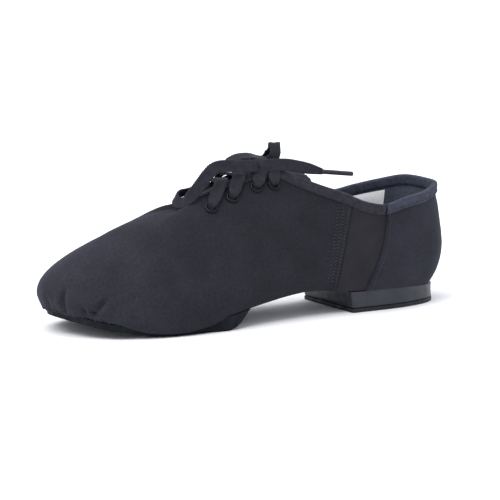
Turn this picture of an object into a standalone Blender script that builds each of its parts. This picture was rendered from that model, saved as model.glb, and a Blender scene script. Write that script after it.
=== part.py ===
"""Left jazz shoe with a split sole: canvas upper, gores, binding, tongue, sole, heel, eyelets and laces.

Metres. The toe points to -X, the medial side to +Y, and the floor is z = 0.
"""
import math

import bpy
import bmesh
import numpy as np

# Overall sizes. LENGTH is the pattern's length, which the shares below divide: the finished shoe, from its heel's
# bulge to its toe, takes up 0.987 of it. BALL is the width over both feather points with the walls' lean left out,
# INSTEP the height of the eyestays' edge, HEEL the height of the heel and SPRING the lift of the toe.
LENGTH = 0.243
BALL = 0.088
INSTEP = 0.0777
HEEL = 0.0115
SPRING = 0.0097

# Share of LENGTH, from the heel, that lies on x = 0, so that the shoe's box is centred there
MIDDLE = 0.490

# Materials and thicknesses
WALL = 0.0016
SOLE = 0.0034
INSOLE = 0.0018
GAP = 0.0003
MARGIN = 0.012
INSOLE_CLEAR = 0.0012
FEATHER_EDGE = 0.0006

# Steps in the wall of the upper
GORE_DEPTH = 0.0005
COUNTER_STEP = 0.0006

# Heel block and top lift
HEEL_WIDTH = 0.0508
HEEL_INSET = 0.0057
HEEL_LENGTH = 0.0625
BREAST_SLANT = 0.0015
HEEL_WAIST = 0.0003
HEEL_ROUND = 2.7
LIFT = 0.0022
LIFT_EDGE = 0.0004

# Collar binding
BINDING = 0.0045
TAPE = 0.0006

# Eyelets
EYELET = 0.0068
EYELET_HOLE = 0.0042
EYELET_RIM = 0.0009
EYELET_SEAT = 0.0002
EYELET_FROM_EDGE = 0.0098

# Tongue and label
TONGUE = 0.0016
LABEL = 0.0004

# Laces
LACE = 0.0066
LACE_THICK = 0.0013
CROSSING_RISE = -0.0006
AGLET = 0.0170
AGLET_THICK = 0.0026
MM = 0.001

# The upper's sections, from the toe's centre round one side to the heel's centre. Each row gives:
# along    feather point, share of LENGTH from the heel
# aside    feather point, share of half of BALL
# out      how far the wall leans out above the feather, share of half of BALL
# up       height of that lean, share of INSTEP
# r_along  rim point, share of LENGTH from the heel
# r_aside  rim point, share of half of BALL
# r_up     rim point, share of INSTEP
# reach    how far the wall runs in under the rim, share of the plan distance
# drop     how far it runs down there, share of INSTEP
LATERAL = [
    (0.968, 0.10, 0.42, 0.22, 0.652, 0.00, 0.766, 0.50, -0.010),
    (0.955, -0.20, 0.37, 0.22, 0.650, -0.03, 0.768, 0.50, -0.005),
    (0.925, -0.48, 0.26, 0.23, 0.646, -0.05, 0.778, 0.50, 0.010),
    (0.880, -0.70, 0.19, 0.26, 0.636, -0.07, 0.815, 0.48, 0.060),
    (0.815, -0.84, 0.15, 0.30, 0.612, -0.11, 0.876, 0.42, 0.160),
    (0.740, -0.90, 0.14, 0.32, 0.575, -0.15, 0.925, 0.37, 0.200),
    (0.665, -0.89, 0.14, 0.30, 0.533, -0.183, 0.967, 0.34, 0.220),
    (0.610, -0.84, 0.15, 0.28, 0.493, -0.22, 0.997, 0.33, 0.230),
    (0.570, -0.78, 0.15, 0.26, 0.460, -0.245, 1.013, 0.33, 0.230),
    (0.520, -0.71, 0.15, 0.24, 0.437, -0.275, 1.006, 0.33, 0.220),
    (0.450, -0.64, 0.15, 0.22, 0.405, -0.35, 0.957, 0.30, 0.200),
    (0.390, -0.60, 0.15, 0.21, 0.355, -0.47, 0.890, 0.25, 0.190),
    (0.335, -0.585, 0.15, 0.20, 0.300, -0.585, 0.825, 0.18, 0.180),
    (0.295, -0.585, 0.15, 0.20, 0.250, -0.62, 0.760, 0.15, 0.180),
    (0.248, -0.585, 0.15, 0.20, 0.200, -0.635, 0.733, 0.15, 0.180),
    (0.185, -0.570, 0.17, 0.20, 0.150, -0.625, 0.768, 0.15, 0.190),
    (0.115, -0.50, 0.22, 0.21, 0.088, -0.55, 0.795, 0.20, 0.210),
    (0.056, -0.335, 0.31, 0.22, 0.031, -0.36, 0.835, 0.30, 0.225),
    (0.031, 0.00, 0.35, 0.23, 0.005, 0.00, 0.838, 0.35, 0.230),
]
MEDIAL = [
    (0.955, 0.38, 0.37, 0.22, 0.650, 0.03, 0.766, 0.50, -0.005),
    (0.920, 0.63, 0.24, 0.23, 0.646, 0.05, 0.774, 0.50, 0.010),
    (0.865, 0.80, 0.18, 0.26, 0.636, 0.07, 0.805, 0.48, 0.060),
    (0.795, 0.88, 0.15, 0.31, 0.612, 0.11, 0.865, 0.42, 0.170),
    (0.725, 0.88, 0.14, 0.33, 0.575, 0.15, 0.908, 0.37, 0.200),
    (0.660, 0.79, 0.13, 0.32, 0.533, 0.183, 0.942, 0.34, 0.220),
    (0.610, 0.69, 0.14, 0.30, 0.493, 0.22, 0.975, 0.33, 0.230),
    (0.570, 0.61, 0.14, 0.28, 0.460, 0.245, 0.998, 0.33, 0.230),
    (0.520, 0.53, 0.15, 0.27, 0.437, 0.275, 0.998, 0.33, 0.220),
    (0.450, 0.48, 0.16, 0.25, 0.405, 0.35, 0.957, 0.30, 0.200),
    (0.390, 0.475, 0.16, 0.23, 0.355, 0.47, 0.895, 0.25, 0.190),
    (0.335, 0.49, 0.16, 0.21, 0.300, 0.585, 0.830, 0.18, 0.180),
    (0.295, 0.51, 0.16, 0.20, 0.250, 0.62, 0.775, 0.15, 0.180),
    (0.248, 0.53, 0.16, 0.20, 0.200, 0.635, 0.755, 0.15, 0.180),
    (0.185, 0.545, 0.17, 0.20, 0.150, 0.625, 0.780, 0.15, 0.190),
    (0.115, 0.49, 0.22, 0.21, 0.088, 0.55, 0.815, 0.20, 0.210),
    (0.056, 0.335, 0.31, 0.22, 0.031, 0.36, 0.848, 0.30, 0.225),
]
ROWS = np.array(LATERAL + MEDIAL[::-1])
TURN = len(ROWS)
HALF = TURN // 2

# Where the upper's underside lies between the forefoot sole and the heel seat:
# share of LENGTH from the heel, and share of the way from the sole's top to the heel's top
UNDERSIDE = [
    (0.000, 0.80),
    (0.060, 0.84),
    (0.120, 0.93),
    (0.200, 1.00),
    (0.275, 1.00),
    (0.335, 1.20),
    (0.400, 1.32),
    (0.450, 1.22),
    (0.520, 0.96),
    (0.570, 0.77),
    (0.620, 0.54),
    (0.670, 0.30),
    (0.730, 0.03),
    (0.780, 0.00),
    (1.000, 0.00),
]

# Rows of the ring where pieces begin and end
FORE_END = 8
HEEL_START = 14
GORE_FRONT = 12
GORE_BACK = 14

# Eyelets from the toe up: place on the ring, and depth below the edge as a share of EYELET_FROM_EDGE
EYELETS = [
    (4.97, 1.70),
    (5.89, 1.26),
    (7.19, 0.92),
    (8.60, 0.88),
]

# The tongue under the eyestays: place on the ring, how far down its wings reach and how high they end (0 feather,
# 1 rim), and how far its middle rises over them, share of INSTEP
TONGUE_ROWS = [
    (5.0, 0.84, 0.965, 0.000),
    (6.0, 0.86, 0.97, 0.014),
    (7.2, 0.87, 0.97, 0.016),
    (8.4, 0.88, 0.97, 0.018),
]
# and its ends, the sewn one under the vamp and the free one: share of LENGTH from the heel, half width as a share of
# half of BALL, height of its middle and fall of its sides as shares of INSTEP
TONGUE_START = [
    (0.695, 0.240, 0.714, 0.040),
    (0.672, 0.270, 0.704, 0.035),
    (0.650, 0.290, 0.706, 0.030),
    (0.628, 0.300, 0.738, 0.030),
]
TONGUE_END = [
    (0.425, 0.205, 0.975, 0.035),
    (0.392, 0.250, 0.970, 0.045),
    (0.360, 0.240, 0.953, 0.045),
    (0.345, 0.160, 0.935, 0.030),
]

# The label: from one ring place to the other, and its lower and upper edges (0 feather, 1 rim)
LABEL_PLACE = (19.60, 21.05)
LABEL_HEIGHT = (0.72, 0.865)

# The bow, in millimetres. Each run has its path and the way that its flat side looks.
LACE_RUNS = [
    ("lace_loop_front",
     [(-11.0, -8.3, 84.2), (-21.2, -10, 83.3), (-28.1, -11.5, 82.1), (-32.4, -12, 77.6), (-35.4, -10.5, 72.5),
      (-38.9, -8.5, 68.6), (-43.9, -5.5, 66.6), (-47.4, 0, 66.4), (-44.4, 5, 68.2), (-37.9, 6.5, 71.5),
      (-28.4, 5.5, 76.5), (-19.4, 4, 80.5), (-12.6, 1.6, 83.2)],
     [(0, -1, 0), (-0.2, -1, 0.1), (-0.6, -1, 0.3), (-0.8, -1, 0.2), (-0.6, -1, 0.1), (-0.4, -1, 0.1),
      (-0.6, -0.8, 0.2), (-1, 0, 0.2), (-0.4, 1, 0.4), (0, 0.8, 0.8), (0, 0.6, 1), (0, 0.6, 1), (0, 0.8, 0.6)]),
    ("lace_loop_rear",
     [(13.5, -6.2, 85.4), (13.0, -7, 88.7), (13.4, -5.6, 92.0), (14.4, -3.6, 92.0), (15.2, -0.5, 88.5),
      (15.0, 3.4, 85.7), (11.1, 5.8, 85.2), (4.6, 6.2, 85.2), (-2.4, 5.5, 85.1), (-8.4, 4.4, 84.4)],
     [(0, -1, 0), (0, -1, 0), (0, -0.7, 0.7), (0, 0.7, 0.7), (0, 1, 0.2), (0.8, 0.6, 0.2), (0.4, 1, 0),
      (0, 1, 0), (0, 1, 0), (0, 1, 0)]),
    ("lace_end",
     [(13.5, -8.7, 82.0), (19.1, -9.8, 81.5), (26.0, -11, 80.1), (32.6, -11.6, 78.6), (38.2, -12, 77.3)],
     [(0, -1, 0.1), (0, -1, 0.1), (0, -1, 0.1), (0, -1, 0.1), (0, -1, 0.1)]),
]
KNOT = (0.0230, 0.0104, 0.0056)
KNOT_AT = (-1.6, -3.4, 85.2)
KNOT_SECTIONS = [(-1.0, 0.35), (-0.8, 0.75), (-0.35, 1.0), (0.2, 1.0), (0.75, 0.8), (1.0, 0.4)]
AGLET_AT = (38.2, -12.0, 77.3)
AGLET_ALONG = (20.0, -1.0, -3.5)

# The forefoot sole's flat part, where its spring is full, and the length of its rounded tail, shares of LENGTH
FLAT_BACK = 0.640
FLAT_FRONT = 0.760
SPRING_END = 0.970
TAIL = 0.070
# How far its rear end bows back at the middle, in rows of the ring, and how thick it ends, as a share of SOLE
REAR_BOW = 0.5
REAR_EDGE = 0.35

# Colour, roughness and metallic value of each material
LOOKS = {
    "canvas": ((0.026, 0.026, 0.036), 0.90, 0.0),
    "binding": ((0.020, 0.020, 0.028), 0.80, 0.0),
    "lining": ((0.030, 0.030, 0.038), 0.90, 0.0),
    "outsole": ((0.018, 0.020, 0.030), 0.60, 0.0),
    "heel": ((0.040, 0.040, 0.055), 0.45, 0.0),
    "lift": ((0.012, 0.012, 0.016), 0.65, 0.0),
    "metal": ((0.050, 0.050, 0.055), 0.30, 1.0),
    "lace": ((0.016, 0.016, 0.021), 0.75, 0.0),
    "aglet": ((0.012, 0.012, 0.016), 0.25, 0.0),
    "label": ((0.800, 0.790, 0.770), 0.60, 0.0),
}


def smooth_table(table, at):
    """Height shares of a two-column table, by Catmull-Rom in its own spacing."""
    x, y = np.array(table).T
    slope = np.gradient(y, x)
    i = np.clip(np.searchsorted(x, at) - 1, 0, len(x) - 2)
    step = x[i + 1] - x[i]
    f = np.clip((at - x[i]) / step, 0, 1)
    return ((2 * f**3 - 3 * f**2 + 1) * y[i] + (f**3 - 2 * f**2 + f) * step * slope[i]
            + (3 * f**2 - 2 * f**3) * y[i + 1] + (f**3 - f**2) * step * slope[i + 1])


def share(x):
    """Share of LENGTH from the heel at a place along X."""
    return MIDDLE - np.asarray(x) / LENGTH


def spring(x):
    """Toe spring of the sole's underside at a place along X."""
    f = np.clip((share(x) - FLAT_FRONT) / (SPRING_END - FLAT_FRONT), 0, 2)
    return SPRING * f**1.5


def base(x):
    """Height of the upper's underside at a place along X."""
    return SOLE + GAP + spring(x) + (HEEL - SOLE) * smooth_table(UNDERSIDE, share(x))


def ring(a):
    """The columns of the section table at ring places a, one unit a row, by closed Catmull-Rom."""
    a = np.asarray(a, float) % TURN
    i = np.floor(a).astype(int)
    f = (a - i)[..., None]
    p0, p1, p2, p3 = (ROWS[(i + k) % TURN] for k in (-1, 0, 1, 2))
    return 0.5 * (2 * p1 + (p2 - p0) * f + (2 * p0 - 5 * p1 + 4 * p2 - p3) * f**2
                  + (3 * p1 - p0 - 3 * p2 + p3) * f**3)


def feather(a):
    """Feather point at ring places a."""
    r = ring(a)
    x = (MIDDLE - r[..., 0]) * LENGTH
    return np.stack([x, r[..., 1] * BALL / 2, base(x)], -1)


def outward(a):
    """Level direction that points out of the shoe at the feather."""
    d = feather(np.asarray(a) + 0.2) - feather(np.asarray(a) - 0.2)
    n = np.stack([d[..., 1], -d[..., 0], 0 * d[..., 0]], -1)
    return n / np.linalg.norm(n, axis=-1, keepdims=True)


def place(a, t):
    """Point of the upper's outer face: a goes round the ring, t from the feather (0) to the rim (1)."""
    r = ring(a)
    foot = feather(a)
    rim = np.stack([(MIDDLE - r[..., 4]) * LENGTH, r[..., 5] * BALL / 2, r[..., 6] * INSTEP], -1)
    zed = np.array([0.0, 0.0, 1.0])
    low = foot + outward(a) * (r[..., 2] * BALL / 2)[..., None] + zed * (r[..., 3] * INSTEP)[..., None]
    plan = (foot - rim) * np.array([1.0, 1.0, 0.0])
    high = rim + plan * r[..., 7][..., None] - zed * (r[..., 8] * INSTEP)[..., None]
    t = np.asarray(t, float)[..., None]
    return (1 - t)**3 * foot + 3 * (1 - t)**2 * t * low + 3 * (1 - t) * t**2 * high + t**3 * rim


def skin(a, t, off=0.0):
    """Point of the upper's outer face moved off along its normal."""
    a, t = np.broadcast_arrays(np.asarray(a, float), np.asarray(t, float))
    e = 0.02
    t0 = np.clip(t, e, 1 - e)
    across = place(a + 0.1, t0) - place(a - 0.1, t0)
    along = place(a, t0 + e) - place(a, t0 - e)
    n = np.cross(across, along)
    n /= np.linalg.norm(n, axis=-1, keepdims=True)
    return place(a, t) + n * np.asarray(off)[..., None]


def below_rim(a, depth):
    """The t of the point that lies a given length below the rim, measured along the wall."""
    t = np.linspace(0, 1, 61)
    out = []
    for one in np.atleast_1d(a):
        p = place(np.full(61, one), t)
        run = np.linalg.norm(np.diff(p, axis=0), axis=1)[::-1].cumsum()
        out.append(np.interp(depth, np.concatenate([[0], run]), t[::-1]))
    return np.array(out)


def material(name):
    """The named material, made when it is first used."""
    found = bpy.data.materials.get(name)
    if found:
        return found
    colour, roughness, metallic = LOOKS[name]
    look = bpy.data.materials.new(name)
    look.use_nodes = True
    shader = look.node_tree.nodes["Principled BSDF"]
    shader.inputs["Base Color"].default_value = (*colour, 1.0)
    shader.inputs["Roughness"].default_value = roughness
    shader.inputs["Metallic"].default_value = metallic
    look.diffuse_color = (*colour, 1.0)
    return look


def make(name, look, verts, faces):
    """One closed mesh object, facing out, its quads split along their first corner."""
    split = []
    for face in faces:
        split += [face[:3], (face[0],) + tuple(face[2:])] if len(face) == 4 else [face]
    mesh = bpy.data.meshes.new(name)
    mesh.from_pydata([tuple(float(c) for c in v) for v in verts], [], split)
    tidy(mesh)
    mesh.materials.append(material(look))
    obj = bpy.data.objects.new(name, mesh)
    bpy.context.scene.collection.objects.link(obj)
    return obj


def tidy(mesh):
    """Weld a mesh's doubles and face it outward."""
    bm = bmesh.new()
    bm.from_mesh(mesh)
    bmesh.ops.remove_doubles(bm, verts=bm.verts, dist=1e-6)
    bmesh.ops.dissolve_degenerate(bm, edges=bm.edges, dist=1e-6)
    bmesh.ops.triangulate(bm, faces=[f for f in bm.faces if len(f.verts) > 3])
    bmesh.ops.recalc_face_normals(bm, faces=bm.faces)
    if bm.calc_volume(signed=True) < 0:
        bmesh.ops.reverse_faces(bm, faces=bm.faces)
    bm.to_mesh(mesh)
    bm.free()
    mesh.shade_smooth()
    mesh.set_sharp_from_angle(angle=math.radians(40))


def sheet(name, look, top, bottom):
    """A closed solid between two grids of the same size."""
    n, m = top.shape[:2]
    verts = np.concatenate([top.reshape(-1, 3), bottom.reshape(-1, 3)])
    low = n * m
    faces = []
    for i in range(n - 1):
        for k in range(m - 1):
            q = (i * m + k, i * m + k + 1, (i + 1) * m + k + 1, (i + 1) * m + k)
            faces.append(q)
            faces.append(tuple(low + v for v in reversed(q)))
    edge = [i * m for i in range(n)] + [(n - 1) * m + k for k in range(1, m)]
    edge += [i * m + m - 1 for i in range(n - 2, -1, -1)] + [k for k in range(m - 2, 0, -1)]
    for u, v in zip(edge, edge[1:] + edge[:1]):
        faces.append((u, v, low + v, low + u))
    return make(name, look, verts, faces)


def loft(name, look, rings, closed=False):
    """A closed solid through rings of equal size, with flat ends unless it is closed on itself."""
    rings = np.asarray(rings)
    n, m = rings.shape[:2]
    faces = []
    for i in range(n if closed else n - 1):
        for k in range(m):
            j, l = (i + 1) % n, (k + 1) % m
            faces.append((i * m + l, j * m + l, j * m + k, i * m + k))
    if not closed:
        faces.append(tuple(range(m)))
        faces.append(tuple((n - 1) * m + k for k in range(m)))
    return make(name, look, rings.reshape(-1, 3), faces)


def ring_places():
    """Ring places of the upper's columns, symmetric, with a pair at each step of the wall."""
    side = list(np.arange(0, HALF + 0.01, 1 / 3))
    for step in (GORE_FRONT, GORE_BACK):
        side = [v for v in side if abs(v - step) > 0.1] + [step - 0.04, step + 0.04]
    side = sorted(side)
    return np.array(side + [TURN - v for v in side[-2:0:-1]])


def wall_step(a):
    """Height of the wall's outer step at ring places a: the gores lie lower, the heel counter higher."""
    side = np.minimum(a % TURN, TURN - a % TURN)
    return np.where(side > GORE_BACK, COUNTER_STEP, np.where(side > GORE_FRONT, -GORE_DEPTH, 0.0))


def upper():
    """The hollow upper: wall, turned-in lasting margin and the closed arch."""
    a = ring_places()
    n = len(a)
    levels = np.array([0, 0.06, 0.17, 0.33, 0.50, 0.68, 0.86, 1.0])
    t = np.column_stack([below_rim(a, BINDING)[:, None] * levels, np.ones(n)])
    m = len(levels) + 1
    outer = skin(a[:, None], t, wall_step(a)[:, None] * np.clip(t / 0.1, 0, 1))
    inner = skin(a[:, None], t, -WALL)
    foot, out = outer[:, 0], outward(a)
    lean = ring(a)[:, 2] * BALL / 2 / (ring(a)[:, 3] * INSTEP)
    tilt = np.arctan(lean)
    corner = (1 - np.sin(tilt)) / np.cos(tilt)
    inner[:, 0] = foot - out * (corner * WALL)[:, None]
    side = np.minimum(a, TURN - a)
    shut = (side >= FORE_END) & (side <= HEEL_START)
    mirror = feather(TURN - a)
    end = np.where(shut[:, None], (foot + mirror) / 2, foot - out * MARGIN)
    inner[:, 0, 2] = base(inner[:, 0, 0]) + WALL
    grids = []
    for wall, rise in ((outer, 0.0), (inner, WALL)):
        edge = end[:, None].copy()
        edge[..., 2] = base(edge[..., 0]) + rise
        grids.append(np.concatenate([edge, wall], 1))
    verts = np.concatenate([v.reshape(-1, 3) for v in grids])
    m += 1
    low = n * m
    faces = []
    for i in range(n):
        j = (i + 1) % n
        for k in range(m - 1):
            q = (i * m + k, j * m + k, j * m + k + 1, i * m + k + 1)
            faces.append(q)
            faces.append(tuple(low + v for v in reversed(q)))
        faces.append((i * m + m - 1, j * m + m - 1, low + j * m + m - 1, low + i * m + m - 1))
        if not (shut[i] and shut[j]):
            faces.append((i * m, j * m, low + j * m, low + i * m))
    return make("upper", "canvas", verts, faces)


def underfoot(name, look, a, across, inset, top, bottom):
    """A solid under or over the foot's bottom: inset from the feather and height are given for each face of it."""
    grids = []
    w = across[None, :, None]
    for gap, height in zip(inset, (top, bottom)):
        near = feather(a) - outward(a) * gap
        far = feather(TURN - a) - outward(TURN - a) * gap
        p = near * (1 - w) + far * w
        p[..., 2] = height(p[..., 0])
        grids.append(p)
    return sheet(name, look, *grids)


def sole_under(x):
    """Underside of the forefoot sole: flat at the ball, springing up at the toe and rounding up behind."""
    tail = np.clip((FLAT_BACK - share(x)) / TAIL, 0, 1.3)
    thin = base(x) - GAP - SOLE * REAR_EDGE
    return np.minimum(spring(x) + (HEEL - SOLE) * tail**2, thin)


def sole():
    """The forefoot sole, from the toe to its bowed rear end."""
    w = np.linspace(0, 1, 9)
    last = FORE_END - REAR_BOW * (2 * w - 1)**2
    a = np.linspace(0, 1, 17)[:, None] * last[None, :]
    return underfoot("forefoot_sole", "outsole", a, w, (-FEATHER_EDGE, 0.0), lambda x: base(x) - GAP, sole_under)


def insole():
    """The sock inside, on the lasting margin."""
    w = np.linspace(0, 1, 5)
    a = np.linspace(0, HALF, 25)[:, None] + 0 * w[None, :]
    inset = WALL + INSOLE_CLEAR
    low = WALL + GAP
    return underfoot("insole", "lining", a, w, (inset, inset),
                     lambda x: base(x) + low + INSOLE, lambda x: base(x) + low)


def heel_outline(grow, front):
    """Plan outline of the heel: straight breast, round back."""
    back = MIDDLE * LENGTH - HEEL_INSET + grow
    breast = MIDDLE * LENGTH - HEEL_INSET - HEEL_LENGTH - grow - front
    q = np.linspace(-math.pi / 2, math.pi / 2, 27)
    x = breast + (back - breast) * np.abs(np.cos(q))**(2 / HEEL_ROUND)
    y = (HEEL_WIDTH / 2 + grow) * np.sign(np.sin(q)) * np.abs(np.sin(q))**(2 / HEEL_ROUND)
    return np.stack([x, y], 1)


def heel():
    """The heel block, whose top follows the upper's underside, and its top lift."""
    low = LIFT + GAP
    rings = []
    for level, grow, front in ((0.0, 0.0, 0.0), (0.5, -HEEL_WAIST, BREAST_SLANT * 0.3), (1.0, 0.0, BREAST_SLANT)):
        p = heel_outline(grow, front)
        top = base(p[:, 0]) - GAP
        rings.append(np.column_stack([p, low + (top - low) * level]))
    n = len(rings[0])
    faces = [tuple(range(n))]
    for i in range(2):
        for k in range(n):
            l = (k + 1) % n
            faces.append((i * n + k, i * n + l, (i + 1) * n + l, (i + 1) * n + k))
    for k in range(n // 2):
        q = [2 * n + k, 2 * n + k + 1, 3 * n - 2 - k, 3 * n - 1 - k]
        faces.append(tuple(dict.fromkeys(q)))
    make("heel_block", "heel", np.concatenate(rings), faces)
    p = heel_outline(LIFT_EDGE, 0.0)
    floor = np.column_stack([p, 0 * p[:, 0]])
    loft("heel_top_lift", "lift", [floor, floor + np.array([0, 0, LIFT])])


def binding(name, places):
    """Folded tape over the upper's edge, from one ring place to another."""
    t = below_rim(places, BINDING)
    out = GAP + TAPE
    sections = []
    for a, low in zip(places, t):
        step = float(wall_step(np.array(a)))
        up = place(a, 1.0) - place(a, 0.93)
        up /= np.linalg.norm(up)
        section = [
            skin(a, low, step + out),
            skin(a, 1.0, step + out) + up * out,
            skin(a, 1.0, -WALL - out) + up * out,
            skin(a, low, -WALL - out),
            skin(a, low, -WALL - GAP),
            skin(a, 1.0, -WALL - GAP) + up * GAP,
            skin(a, 1.0, step + GAP) + up * GAP,
            skin(a, low, step + GAP),
        ]
        sections.append(section)
    return loft(name, "binding", sections)


def eyelets():
    """Metal rings round the lace holes, four a side."""
    turn = np.linspace(0, 2 * math.pi, 12, endpoint=False)
    for side in (0, 1):
        for number, (a, depth) in enumerate(EYELETS):
            b = TURN - a if side else a
            centre, across, along, normal = eyelet_frame(b, depth)
            rings = []
            for radius, height in ((EYELET / 2, 0), (EYELET / 2 - EYELET_RIM / 2, EYELET_RIM),
                                   (EYELET_HOLE / 2 + EYELET_RIM / 2, EYELET_RIM), (EYELET_HOLE / 2, 0)):
                spoke = np.cos(turn)[:, None] * across + np.sin(turn)[:, None] * along
                rings.append(centre + spoke * radius + normal * (GAP + EYELET_SEAT + height))
            name = "eyelet_" + ("medial_" if side else "lateral_") + str(number + 1)
            loft(name, "metal", rings, closed=True)


def eyelet_frame(a, depth):
    """Centre on the wall's face and the axes of an eyelet."""
    t = float(below_rim(a, depth * EYELET_FROM_EDGE)[0])
    centre = place(a, t)
    normal = skin(a, t, 1.0) - centre
    along = place(a, t + 0.05) - place(a, t - 0.05)
    along /= np.linalg.norm(along)
    return centre, np.cross(along, normal), along, normal


def tongue_lines(table):
    """Lines across the tongue's middle layer from a table of its ends."""
    lines = []
    for along, aside, up, fall in table:
        v = np.array([-1, -0.72, -0.38, 0, 0.38, 0.72, 1])
        x = (MIDDLE - along) * LENGTH + 0 * v
        lines.append(list(np.column_stack([x, v * aside * BALL / 2, (up - fall * v**2) * INSTEP])))
    return lines


def tongue():
    """The tongue: under the eyestays, with its end above the throat."""
    deep = WALL + TAPE + 2 * GAP + TONGUE / 2
    lines = tongue_lines(TONGUE_START)
    for a, low, high, crown in TONGUE_ROWS:
        left = [skin(a, low + (high - low) * f, -deep) for f in (0.0, 0.5, 1.0)]
        right = [skin(TURN - a, low + (high - low) * f, -deep) for f in (1.0, 0.5, 0.0)]
        middle = (left[-1] + right[0]) / 2 + np.array([0, 0, crown * INSTEP])
        lines.append(left + [middle] + right)
    mid = np.array(lines + tongue_lines(TONGUE_END))
    du, dv = np.gradient(mid, axis=0), np.gradient(mid, axis=1)
    n = np.cross(dv, du)
    n /= np.linalg.norm(n, axis=-1, keepdims=True)
    n *= np.sign(n[..., 2:3])
    return sheet("tongue", "canvas", mid + n * TONGUE / 2, mid - n * TONGUE / 2)


def label():
    """A bare label on the inner face of the medial wall."""
    a = np.linspace(LABEL_PLACE[0], LABEL_PLACE[1], 6)[:, None]
    t = np.linspace(LABEL_HEIGHT[0], LABEL_HEIGHT[1], 4)[None, :]
    return sheet("label", "label", skin(a, t, -WALL - GAP), skin(a, t, -WALL - GAP - LABEL))


def smooth(points, each):
    """Points along a Catmull-Rom curve through the given ones."""
    p = np.array(points, float)
    p = np.vstack([2 * p[0] - p[1], p, 2 * p[-1] - p[-2]])
    out = []
    for i in range(1, len(p) - 2):
        f = np.arange(each)[:, None] / each
        out.append(0.5 * (2 * p[i] + (p[i + 1] - p[i - 1]) * f
                          + (2 * p[i - 1] - 5 * p[i] + 4 * p[i + 1] - p[i + 2]) * f**2
                          + (3 * p[i] - p[i - 1] - 3 * p[i + 1] + p[i + 2]) * f**3))
    return np.vstack(out + [p[-2:-1]])


def ribbon(name, points, faces_to):
    """A flat lace along a path; faces_to gives the way that its flat side looks at each point."""
    p = np.asarray(points, float)
    tangent = np.gradient(p, axis=0)
    tangent /= np.linalg.norm(tangent, axis=1, keepdims=True)
    flat = np.asarray(faces_to, float)
    flat = flat - tangent * (flat * tangent).sum(1, keepdims=True)
    flat /= np.linalg.norm(flat, axis=1, keepdims=True)
    side = np.cross(tangent, flat)
    w, h = LACE / 2, LACE_THICK / 2
    corners = ((-1, 0), (-0.75, -1), (0.75, -1), (1, 0), (0.75, 1), (-0.75, 1))
    rings = np.stack([p + side * w * u + flat * h * v for u, v in corners], 1)
    return loft(name, "lace", rings)


def crossing(name, first, second, flip, layer):
    """One strand of lace from an eyelet, over the throat, to an eyelet of the other side."""
    clear = GAP * 2 + max(TAPE, EYELET_SEAT + EYELET_RIM) + LACE_THICK * (0.5 + layer)
    middle = (EYELETS[first][0] + EYELETS[second][0]) / 2
    halves = []
    for number, turned in ((first, flip), (second, not flip)):
        a0, depth = EYELETS[number]
        t0 = float(below_rim(a0, depth * EYELET_FROM_EDGE)[0])
        a1 = a0 + (middle - a0) * 0.55
        half = []
        for f in (-0.15, 0.2, 0.6, 1.0):
            a = a0 + (a1 - a0) * f
            t = t0 + (1 - t0) * f
            b = TURN - a if turned else a
            over = np.array([0, 0, 0.65 * clear * max(f, 0)**2])
            half.append((skin(b, t, clear) + over, skin(b, t, 1.0) - place(b, t) + over / clear))
        halves.append(half)
    top = (halves[0][-1][0] + halves[1][-1][0]) / 2 + np.array([0, 0, CROSSING_RISE])
    points = [e[0] for e in halves[0]] + [top] + [e[0] for e in halves[1][::-1]]
    looks = [e[1] for e in halves[0]] + [np.array([0, 0, 1.0])] + [e[1] for e in halves[1][::-1]]
    return ribbon(name, smooth(points, 2), smooth(looks, 2))


def union(name, pieces):
    """The pieces joined into one solid."""
    whole = pieces[0]
    for piece in pieces[1:]:
        join = whole.modifiers.new("join", "BOOLEAN")
        join.operation = "UNION"
        join.solver = "EXACT"
        join.object = piece
        bpy.context.view_layer.update()
        mesh = bpy.data.meshes.new_from_object(whole.evaluated_get(bpy.context.evaluated_depsgraph_get()))
        whole.modifiers.clear()
        whole.data = mesh
        bpy.data.objects.remove(piece, do_unlink=True)
    whole.name = name
    tidy(whole.data)
    return whole


def laces():
    """The crossings over the throat, the knot, the bow's loops and its free end."""
    strands = [crossing("strand", 0, 0, False, 0.0)]
    for k in range(len(EYELETS) - 1):
        strands.append(crossing("strand", k, k + 1, False, 0.23))
        strands.append(crossing("strand", k, k + 1, True, 0.51))
    union("lace_crossings", strands)
    for name, path, looks in LACE_RUNS:
        ribbon(name, smooth(path, 3) * MM, smooth(looks, 3))
    turn = np.linspace(0, 2 * math.pi, 8, endpoint=False)
    rings = []
    for x, r in KNOT_SECTIONS:
        rings.append(np.column_stack([0 * turn + x * KNOT[0] / 2, np.cos(turn) * r * KNOT[1] / 2,
                                      np.sin(turn) * r * KNOT[2] / 2]) + np.array(KNOT_AT) * MM)
    loft("lace_knot", "lace", rings)
    tip = np.array(AGLET_ALONG)
    tip /= np.linalg.norm(tip)
    start = np.array(AGLET_AT) * MM + tip * GAP
    side = np.cross(tip, np.array([0, 0, 1.0]))
    side /= np.linalg.norm(side)
    up = np.cross(side, tip)
    rings = []
    for run in (0.0, AGLET):
        rings.append(start + tip * run + AGLET_THICK / 2 * (np.cos(turn)[:, None] * side + np.sin(turn)[:, None] * up))
    loft("lace_aglet", "aglet", rings)


def main():
    for obj in list(bpy.data.objects):
        bpy.data.objects.remove(obj, do_unlink=True)
    upper()
    a = ring_places()
    binding("binding_front", np.concatenate([a[a > TURN - GORE_BACK] - TURN, a[a < GORE_BACK]]))
    binding("binding_rear", a[(a > GORE_BACK) & (a < TURN - GORE_BACK)])
    sole()
    insole()
    heel()
    tongue()
    label()
    eyelets()
    laces()


if __name__ == "__main__":
    main()
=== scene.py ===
"""Left jazz shoe: canvas upper, elastic sides, bound collar, split sole, eyelets, crossed laces and a bow.

Metres, in the part's own frame: the toe points to -X, the medial side to +Y, and the floor is z = 0.
"""
import math

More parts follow.
